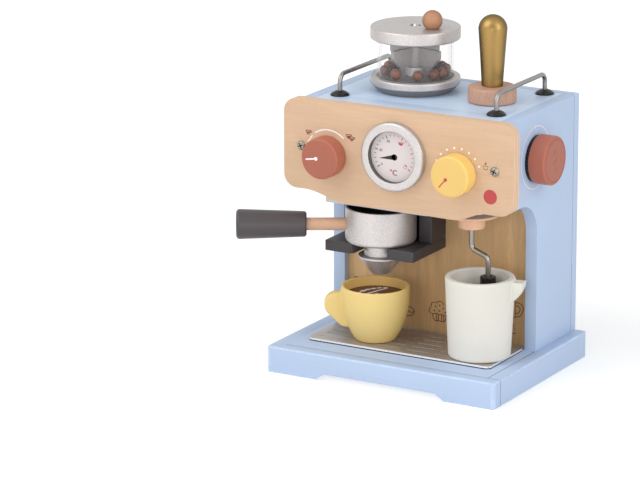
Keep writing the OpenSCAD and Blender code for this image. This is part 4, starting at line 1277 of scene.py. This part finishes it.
class COFFEE_OT_frother(bpy.types.Operator):
    """Makes the frother's flange, its bent steel rod and its tip"""
    bl_idname = "coffee_machine.frother"
    bl_label = "Frother"

    bend: length_property("Bend", "Bend radius of the rod", 6.0)
    turn: number_property("Turn", "How far each bend turns, degrees", 69.0)
    start: length_property("Start", "Height of the first bend", 129.2)
    bore: length_property("Bore", "Radius of the holes that take the rod", 2.6)

    def path(self, over, under, top):
        """The middle of the rod: down, a bend, a slanted run, a bend back, and down again."""
        turn, radius = math.radians(self.turn), self.bend
        reach = under.x - over.x
        slant = (reach - 2 * radius * (1 - math.cos(turn))) / math.sin(turn)
        drop = 2 * radius * math.sin(turn) + slant * math.cos(turn)
        first = Vector((over.x, over.y, self.start))
        second = Vector((under.x, over.y, self.start - drop))
        steps = 14
        return [Vector((over.x, over.y, top)),
                *arc_points(first + X * radius, first, -Y, self.turn, steps),
                *reversed(arc_points(second - X * radius, second, -Y, self.turn, steps)),
                Vector((under.x, over.y, under.z))]

    def execute(self, context):
        foot, disc, height = upright("frother_flange")
        bore, collar, neck = self.bore, 12.65 * MM, 7 * MM
        under, over = 12.5 * MM, 15 * MM
        flange = turned("frother_flange_turned", foot, Z, rounded(
            [(bore, 0, 0), (collar, 0, 1.5 * MM), (collar, under, 0.4 * MM),
             (disc, under, 1.0 * MM), (disc, over, 1.0 * MM), (neck, over, 0.2 * MM),
             (neck, height, 0), (bore, height, 0), (bore, 0, 0)])[:-1])
        # painted light: the flange's beech is 1.35 times lighter than the other beech, where it
        # sits in the shade of the head
        finish_piece(flange, "frother", "beech", "frother_flange",
                     timber("flange_beech_lit", tone(colours().beech, 1.35), 2, fleck=0.5, figure=0.3))
        path = self.path(foot, centre_of("frother_tip"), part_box("frother_wand")[1].z)
        finish_piece(rod("frother_wand_bent", path, 2.5 * MM, 24), "frother", "steel",
                     "frother_wand", drawn_steel("wand_steel", (0.31, 0.29, 0.27), 2, 0.24))
        tip_foot, r, h = upright("frother_tip")
        tip_foot.y = foot.y
        tip = turned("frother_tip_turned", tip_foot, Z, rounded(
            [(0, 0, 0), (r, 0, 1.4 * MM), (r, h, 1.0 * MM), (r * 0.62, h, 0.3 * MM),
             (bore, h - 0.6 * MM, 0), (bore, h - 3 * MM, 0), (0, h - 3 * MM, 0)]))
        finish_piece(tip, "frother", "black_rubber", "frother_tip", shared("black_lacquer"))
        return {"FINISHED"}


class COFFEE_OT_hopper(bpy.types.Operator):
    """Makes the hopper: foot, clear jar, beads, paddles, shaft, lid, ball and bolt"""
    bl_idname = "coffee_machine.hopper"
    bl_label = "Bean hopper"

    seed: IntProperty(name="Seed", description="Seed for the turn of each bead's grain", default=7)
    bead_ring: length_property("Bead ring", "Radius of the circle of beads", 28.8)
    wall: length_property("Wall", "Wall of the clear jar", 1.8)

    def foot_and_jar(self, silver):
        foot, radius, height = upright("hopper_foot")
        jar_foot, jar, jar_height = upright("hopper_jar")
        cone, rim, groove = 7.4 * MM, 14 * MM, 3 * MM
        base, boss, bore, gap = 35 * MM, 9.5 * MM, 4.6 * MM, 0.06 * MM
        inner = jar - self.wall
        body = turned("hopper_foot_turned", foot, Z, rounded(
            [(0, 0, 0), (base, 0, 0.5 * MM), (radius, cone, 1.2 * MM), (radius, rim, 1.4 * MM),
             (jar + gap, rim, 0.3 * MM), (jar + gap, rim - groove, 0),
             (inner - gap, rim - groove, 0), (inner - gap, rim, 0.3 * MM), (boss, rim, 0.3 * MM),
             (boss, height, 0.5 * MM), (bore, height, 0), (bore, cone, 0), (0, cone, 0)]))

        def number_of(face):
            """Silver, the darker floor inside the jar, and the shade under the rim."""
            level, shade = face.center.z - foot.z, 2
            if face.normal.z < -0.2 and level < cone:
                return shade
            return off_axis(face.center, foot) < inner and rim - 4 * MM < level < rim + 2 * MM

        finish_piece(body, "machine", "silver_paint", "hopper_foot", silver,
                     speckled_metal("jar_floor", tone(colours().silver, 0.3), 0.5, 0.5, 1.0),
                     speckled_metal("foot_shade", tone(colours().silver, 0.55), 0.6, 0.45, 0.3),
                     number_of=number_of)
        jar_foot.xy = foot.xy
        tube = turned("hopper_jar_turned", jar_foot, Z, rounded(
            [(inner, 0, 0), (jar, 0, 0), (jar, jar_height, 0.4 * MM),
             (inner, jar_height, 0.4 * MM), (inner, 0, 0)])[:-1])
        finish_piece(tube, "machine", "clear_jar", "hopper_jar", clear_acrylic("jar_acrylic"))
        self.centre = Vector((foot.x, foot.y, 0))

    def beads(self):
        dice = random.Random(self.seed)
        low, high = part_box("bean_beads")
        radius, bore, dent = (high.z - low.z) / 2, 0.9 * MM, 0.3 * MM
        lift = math.sqrt(radius ** 2 - bore ** 2)
        arc = [(radius * math.cos(a), radius * math.sin(a)) for a in
               (math.asin(lift / radius) * (k / 10 - 1) for k in range(21))]
        outline = [(bore, dent - lift), *arc, (bore, lift - dent)]
        # painted shade: each bead's stain darkens where it turns away from the eye
        stains = [timber(f"bead_stain_{n}", tone(colours().bean, factor), 2, fleck=0.5, gloss=0.26,
                         figure=1.0, painted_rim_shade=0.75) for n, factor in enumerate((0.75, 1.0, 1.3))]
        beads = []
        turns = (-143, -101, -57, -26, -5, 17, 38, 59, 80, 156, 178)
        for n, turn in enumerate(turns):
            spoke = Matrix.Rotation(math.radians(turn), 3, "Z") @ X * self.bead_ring
            hole = Vector((dice.uniform(-1, 1), dice.uniform(-1, 1), dice.uniform(-0.4, 0.4)))
            bead = turned("bead", self.centre + spoke + Z * (low.z + radius), hole.normalized(),
                          outline, 40)
            clothe(bead, *stains)
            share_out(bead, lambda face: n * 2 % 3)
            beads.append(bead)
        obj = join("bean_beads_turned", beads)
        smooth(obj, 40)
        place_piece(obj, "machine", "bean_paint", ["bean_beads"])

    def rotor(self, silver):
        foot, radius, height = upright("hopper_lid")
        bolt_foot, bolt, dome = upright("lid_bolt")
        sunk = foot.z + height - bolt_foot.z
        hole, floor = bolt + 0.2 * MM, height - sunk - 0.05 * MM
        foot.xy = bolt_foot.xy = self.centre.xy
        lid = turned("hopper_lid_turned", foot, Z, rounded(
            [(0, 0, 0), (radius, 0, 1.5 * MM), (radius, height, 1.6 * MM),
             (hole, height, 0.25 * MM), (hole, floor, 0), (0, floor, 0)], 8))
        finish_piece(lid, "grinder", "silver_paint", "hopper_lid", silver)
        cap = turned("lid_bolt_turned", bolt_foot, Z, rounded(
            [(0, 0, 0), (bolt, 0, 0), (bolt, sunk * 0.85, 0.3 * MM),
             (bolt * 0.62, sunk * 0.55, 0.4 * MM), (bolt * 0.5, sunk * 0.8, 0.5 * MM),
             (bolt * 0.36, dome * 0.92, 0.8 * MM), (0, dome, 0)]), 64)
        finish_piece(cap, "grinder", "screw_steel", "lid_bolt",
                     drawn_steel("bolt_chrome", (0.62, 0.62, 0.62), 2, 0.1),
                     shared("black_lacquer"),
                     number_of=lambda face: off_axis(face.center, self.centre) > bolt * 0.56)
        _, r, _ = upright("lid_ball")
        outline = [(r * math.cos(a), r * math.sin(a)) for a in
                   (math.pi / 2 * (k / 16 - 1) for k in range(33))]
        outline[0], outline[-1] = (0, -r), (0, r)
        # painted shade: the ball darkens where it turns away from the eye
        finish_piece(turned("lid_ball_turned", centre_of("lid_ball"), Z, outline, 96), "grinder",
                     "ball_wood", "lid_ball", timber("ball_beech", colours().ball, 0, fleck=0.35,
                                                     gloss=0.3, figure=0.9, painted_rim_shade=0.5))
        dark = speckled_metal("paddle_paint", tone(colours().silver, 0.8), 0.5, 0.5, 0.4)
        paddles = board("grinder_paddles", (dark, dark), "silver_dark", 0.5 * MM, body="grinder")
        paddles.data.materials.append(silver)
        boss = 5.5 * MM
        share_out(paddles, lambda face: 2 if off_axis(face.center, self.centre) < boss
                  else face.material_index)
        clothe(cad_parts["grinder_shaft"], silver)

    def execute(self, context):
        silver = shared("speckled_silver")
        self.foot_and_jar(silver)
        self.beads()
        self.rotor(silver)
        return {"FINISHED"}


class COFFEE_OT_rails(bpy.types.Operator):
    """Bends the two rails and turns their black grommets"""
    bl_idname = "coffee_machine.rails"
    bl_label = "Rails"

    bend: length_property("Bend", "Bend radius of a rail", 8.0)

    def execute(self, context):
        steel = drawn_steel("rail_steel", (0.33, 0.31, 0.30), 1, 0.3)
        radius = self.bend
        feet = []
        for node in ("left_rail", "right_rail"):
            low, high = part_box(node)
            r = (high.x - low.x) / 2
            x, axis = (low.x + high.x) / 2, high.z - r
            front, back = low.y + r, high.y - r
            bends = (((x, front + radius, axis - radius), (x, front, axis - radius)),
                     ((x, back - radius, axis - radius), (x, back - radius, axis)))
            path = [Vector((x, front, low.z)),
                    *(p for middle, start in bends for p in arc_points(middle, start, -X, 90, 12)),
                    Vector((x, back, low.z))]
            finish_piece(rod(node + "_bent", path, r, 20), "machine", "steel", node, steel)
            feet += [(x, front), (x, back)]
        low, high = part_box("rail_grommets")
        rise, wide, hole = high.z - low.z, 9 * MM, 2.3 * MM
        made = [turned("grommet", (x, y, low.z), Z, rounded(
            [(hole, 0, 0), (wide, 0, 0), (wide, rise * 0.24, 0.5 * MM),
             (wide * 0.84, rise * 0.56, 1.4 * MM), (wide * 0.52, rise * 0.9, 1.6 * MM),
             (wide * 0.38, rise, 0.5 * MM), (hole, rise, 0.4 * MM), (hole, 0, 0)])[:-1], 64)
                for x, y in feet]
        grommets = join("rail_grommets_turned", made)
        smooth(grommets, 40)
        finish_piece(grommets, "machine", "black_rubber", "rail_grommets", shared("black_lacquer"))
        return {"FINISHED"}


class COFFEE_OT_tamper(bpy.types.Operator):
    """Turns the tamper's foot and handle"""
    bl_idname = "coffee_machine.tamper"
    bl_label = "Tamper"

    def execute(self, context):
        foot, radius, height = upright("tamper_foot")
        finish_piece(turned("tamper_foot_turned", foot, Z, rounded(
            [(0, 0, 0), (radius, 0, 2.0 * MM), (radius, height, 2.6 * MM), (0, height, 0)], 8)),
                     "tamper", "beech", "tamper_foot", timber(
            "tamper_beech", colours().tamper_beech, 2, fleck=0.8, gloss=0.55, figure=0.6))
        top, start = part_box("tamper_grasp")[1], foot + Z * height
        head, neck, tall = top.x - foot.x, 10 * MM, top.z - start.z
        shoulder = tall - head
        dome = [(head * math.cos(a), shoulder + head * math.sin(a)) for a in
                (math.pi / 2 * k / 18 for k in range(19))]
        dome[-1] = (0, tall)
        grasp = turned("tamper_grasp_turned", start, Z,
                       [(0, 0), (neck - 0.6 * MM, 0), (neck, 0.6 * MM)]
                       + [(neck + (head - neck) * (k / 10) ** 1.12, shoulder * k / 10)
                          for k in range(1, 10)] + dome)
        # painted highlight and painted shade: bright bands and dark rims in the gold by the angle
        # to the eye
        finish_piece(grasp, "tamper", "gold_paint", "tamper_grasp", speckled_metal(
            "gold_flakes", colours().gold, 0.85, 0.3, 0.25, gloss=0.5, painted_rim_shade=0.9))
        return {"FINISHED"}


class COFFEE_OT_cup_and_jug(bpy.types.Operator):
    """Makes the cup with its coffee and leaf, and the milk jug"""
    bl_idname = "coffee_machine.cup_and_jug"
    bl_label = "Cup and jug"

    voxel: length_property("Voxel", "Mesh size for the soft blends", 0.7)

    def blended(self, node, name, rounds):
        """A copy of a node whose inner corners and rims are smoothed into each other."""
        obj = copied(node, name)
        remesh = obj.modifiers.new("Even mesh", "REMESH")
        remesh.mode = "VOXEL"
        remesh.voxel_size = self.voxel
        soft = obj.modifiers.new("Soft edges", "SMOOTH")
        soft.factor = 0.6
        soft.iterations = rounds
        apply_all(obj)
        smooth(obj, 60)
        return obj

    def leaflet(self, s, u, v, size, tilt):
        turn = Matrix.Rotation(math.radians(tilt), 2)
        long, wide = size * 1.25, size * 0.8
        s.patch([Vector((u, v)) + turn @ Vector((long * math.cos(a), wide * math.sin(a)))
                 for a in (FULL_TURN * k / 18 for k in range(18))])

    def execute(self, context):
        foot, radius, height = upright("coffee")
        rim = radius + 4 * MM

        def is_inside(face):
            inward = (foot - face.center).xy
            return face.normal.xy.dot(inward) > 0.3 * inward.length and inward.length < rim

        finish_piece(self.blended("cup", "cup_soft", 9), "cup_set", "cup_yellow", "cup",
                     matt_paint("cup_outside", colours().cup, 0.5),
                     matt_paint("cup_inside", colours().cup_inside, 0.5), number_of=is_inside)
        finish_piece(self.blended("jug", "jug_soft", 4), "jug_body", "jug_white", "jug",
                     matt_paint("jug_paint", colours().jug, 0.5))
        drink = turned("coffee_disc", foot, Z, rounded(
            [(0, 0, 0), (radius - 0.5 * MM, 0, 0), (radius, height, 0.4 * MM), (0, height, 0)]))
        finish_piece(drink, "cup_set", "coffee_brown", "coffee",
                     printed("coffee_print", colours().coffee))
        s = Sheet(foot + Z * height, X, Y)
        s.stroke(flowing([(-12, -16), (-8.4, -6), (-5.4, 4), (-2.6, 14), (0.2, 22.6)]), 2.4)
        for k, (u, v) in enumerate(((-16.4, -5.4), (-15.4, 3.4), (-13.6, 9.8), (-10.4, 15.2),
                                    (-6.8, 19.8), (-2.4, 23.2))):
            self.leaflet(s, u, v, 3.0 - 0.2 * k, 56)
        for u, v in ((-3.6, -12.5), (-0.6, -5.5), (2.4, 0.5)):
            self.leaflet(s, u, v, 2.6, -10)
        s.print_on("coffee_leaf", "white_ink", "cup_set")
        return {"FINISHED"}


class COFFEE_OT_hidden_pieces(bpy.types.Operator):
    """Gives the axles and the nut behind the boards their finishes"""
    bl_idname = "coffee_machine.hidden_pieces"
    bl_label = "Hidden pieces"

    def execute(self, context):
        axle_beech = timber("axle_beech", colours().beech, 1, fleck=0.4)
        for node in ("left_axle", "right_axle", "side_axle"):
            clothe(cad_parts[node], axle_beech)
        clothe(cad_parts["frother_nut"], shared("black_lacquer"))
        return {"FINISHED"}


class COFFEE_OT_shared_finishes(bpy.types.Operator):
    """Makes the finishes that several groups of pieces share"""
    bl_idname = "coffee_machine.shared_finishes"
    bl_label = "Shared finishes"

    def execute(self, context):
        # painted highlight: a faint bright band in the silver by the angle to the eye
        speckled_metal("speckled_silver", colours().silver, 0.68, 0.36, 0.34, gloss=0.25)
        lacquer("black_lacquer", (0.012, 0.011, 0.011))
        for name in ("white_ink", "red_ink", "black_ink", "brown_ink"):
            printed(name, getattr(colours(), name))
        printed("dark_red_ink", tone(colours().red_ink, 0.62))
        return {"FINISHED"}


class COFFEE_OT_stage(bpy.types.Operator):
    """Makes the pale floor, the lamps and the camera"""
    bl_idname = "coffee_machine.stage"
    bl_label = "Stage"

    glow_near: number_property("Near glow", "White added to the floor nearby", 0.26)
    glow_far: number_property("Far glow", "White added to the floor further off", 0.45)
    glow_under: number_property("Under glow", "White added under the base", 0.72)

    def floor(self):
        bpy.ops.object.select_all(action="DESELECT")
        bpy.ops.mesh.primitive_plane_add(size=16, location=(0, 0, 0))
        ground = bpy.context.view_layer.objects.active
        ground.name = "floor"
        f = Finish("floor_white")
        away = f.node("ShaderNodeVectorMath", {"operation": "LENGTH"}, {0: f.place}, "Value")
        near, far, under = ((glow,) * 3 for glow in
                            (self.glow_near, self.glow_far, self.glow_under))
        colour = f.mix(away.above(0.75, 0.45), near, far)
        half_width, half_depth, edge = 0.112, 0.092, 0.006
        # painted light: the floor under the base glows more, which lifts the base's shadow there
        beside = f.along("X").math("ABSOLUTE").above(half_width, edge)
        before = (f.along("Y") + 0.09).math("ABSOLUTE").above(half_depth, edge)
        colour = f.mix(beside.math("MAXIMUM", before), under, colour)
        matt = f.node("ShaderNodeBsdfDiffuse", None, {"Color": (0.93, 0.93, 0.925, 1)})
        glow = f.node("ShaderNodeEmission", None, {"Color": f.mix(f.seen(), (0, 0, 0), colour)})
        ground.data.materials.append(f.end(f.node("ShaderNodeAddShader", None, {0: matt, 1: glow})))

    def sky(self, strength):
        """Even light from all sides, white where it is seen."""
        world = bpy.data.worlds.new("studio")
        bpy.context.scene.world = world
        f = Finish("studio", world)
        level = f.node("ShaderNodeMapRange", None,
                       {"Value": f.seen(), "To Min": strength, "To Max": 1.0})
        f.end(f.node("ShaderNodeBackground", None, {"Color": (1, 1, 0.99, 1), "Strength": level}),
              "ShaderNodeOutputWorld")

    def lamp(self, name, place, size, power):
        data = bpy.data.lights.new(name, "AREA")
        data.energy = power
        data.shape = "RECTANGLE"
        data.size, data.size_y = size
        obj = add_object(name, data)
        obj.location = place
        obj.rotation_mode = "QUATERNION"
        middle = Vector((0, -0.08, 0.15))
        obj.rotation_quaternion = (middle - Vector(place)).to_track_quat("-Z", "Y")

    def camera(self, lens):
        """The photograph's camera: its right and up directions and its place, from a fit."""
        data = bpy.data.cameras.new("photograph")
        data.lens = lens
        data.sensor_width = 36
        data.clip_start, data.clip_end = 0.1, 50
        across = Vector((0.866447, 0.499266, -0.001868))
        upward = Vector((-0.131144, 0.231201, 0.964027))
        place = Matrix((across, upward, across.cross(upward))).transposed().to_4x4()
        place.translation = (1.56242, -3.0012, 1.03248)
        obj = add_object("photograph", data)
        obj.matrix_world = place
        bpy.context.scene.camera = obj

    def execute(self, context):
        stage = context.scene.coffee_machine_stage
        self.floor()
        self.sky(stage.sky)
        self.lamp("key", (-1.1, -1.5, 1.9), (1.8, 1.8), stage.key_power)
        self.lamp("fill", (1.9, -0.7, 1.1), (1.2, 1.6), stage.fill_power)
        self.lamp("front", (0.7, -2.3, 0.5), (1.6, 0.9), stage.front_power)
        self.camera(stage.lens)
        context.scene.view_settings.view_transform = "Standard"
        return {"FINISHED"}


class COFFEE_PT_panel(bpy.types.Panel):
    """Lists the groups of pieces in the order in which they are made"""
    bl_idname = "COFFEE_PT_panel"
    bl_label = "Coffee Machine"
    bl_space_type = "VIEW_3D"
    bl_region_type = "UI"
    bl_category = "Coffee Machine"

    def draw(self, context):
        for made in MAKERS:
            self.layout.operator(made.bl_idname)
        for group in (context.scene.coffee_machine_colours, context.scene.coffee_machine_sizes,
                      context.scene.coffee_machine_stage):
            column = self.layout.column(align=True)
            for name in group.bl_rna.properties.keys():
                if name not in ("rna_type", "name"):
                    column.prop(group, name)


MAKERS = (
    COFFEE_OT_shared_finishes, COFFEE_OT_base, COFFEE_OT_cabinet, COFFEE_OT_bay_drawings,
    COFFEE_OT_front_panel, COFFEE_OT_gauge, COFFEE_OT_knobs, COFFEE_OT_tray_and_fork,
    COFFEE_OT_filter_holder, COFFEE_OT_frother, COFFEE_OT_hopper, COFFEE_OT_rails,
    COFFEE_OT_tamper, COFFEE_OT_cup_and_jug, COFFEE_OT_hidden_pieces, COFFEE_OT_stage,
)
GROUPS = {
    "coffee_machine_colours": CoffeeMachineColours,
    "coffee_machine_sizes": CoffeeMachineSizes,
    "coffee_machine_stage": CoffeeMachineStage,
}


def register():
    for cls in (*GROUPS.values(), *MAKERS, COFFEE_PT_panel):
        bpy.utils.register_class(cls)
    for name, group in GROUPS.items():
        setattr(bpy.types.Scene, name, PointerProperty(type=group))


def unregister():
    for name in GROUPS:
        delattr(bpy.types.Scene, name)
    for cls in reversed((*GROUPS.values(), *MAKERS, COFFEE_PT_panel)):
        bpy.utils.unregister_class(cls)


def main():
    register()
    for made in MAKERS:
        getattr(bpy.ops.coffee_machine, made.bl_idname.split(".")[1])()


if __name__ == "__main__":
    main()
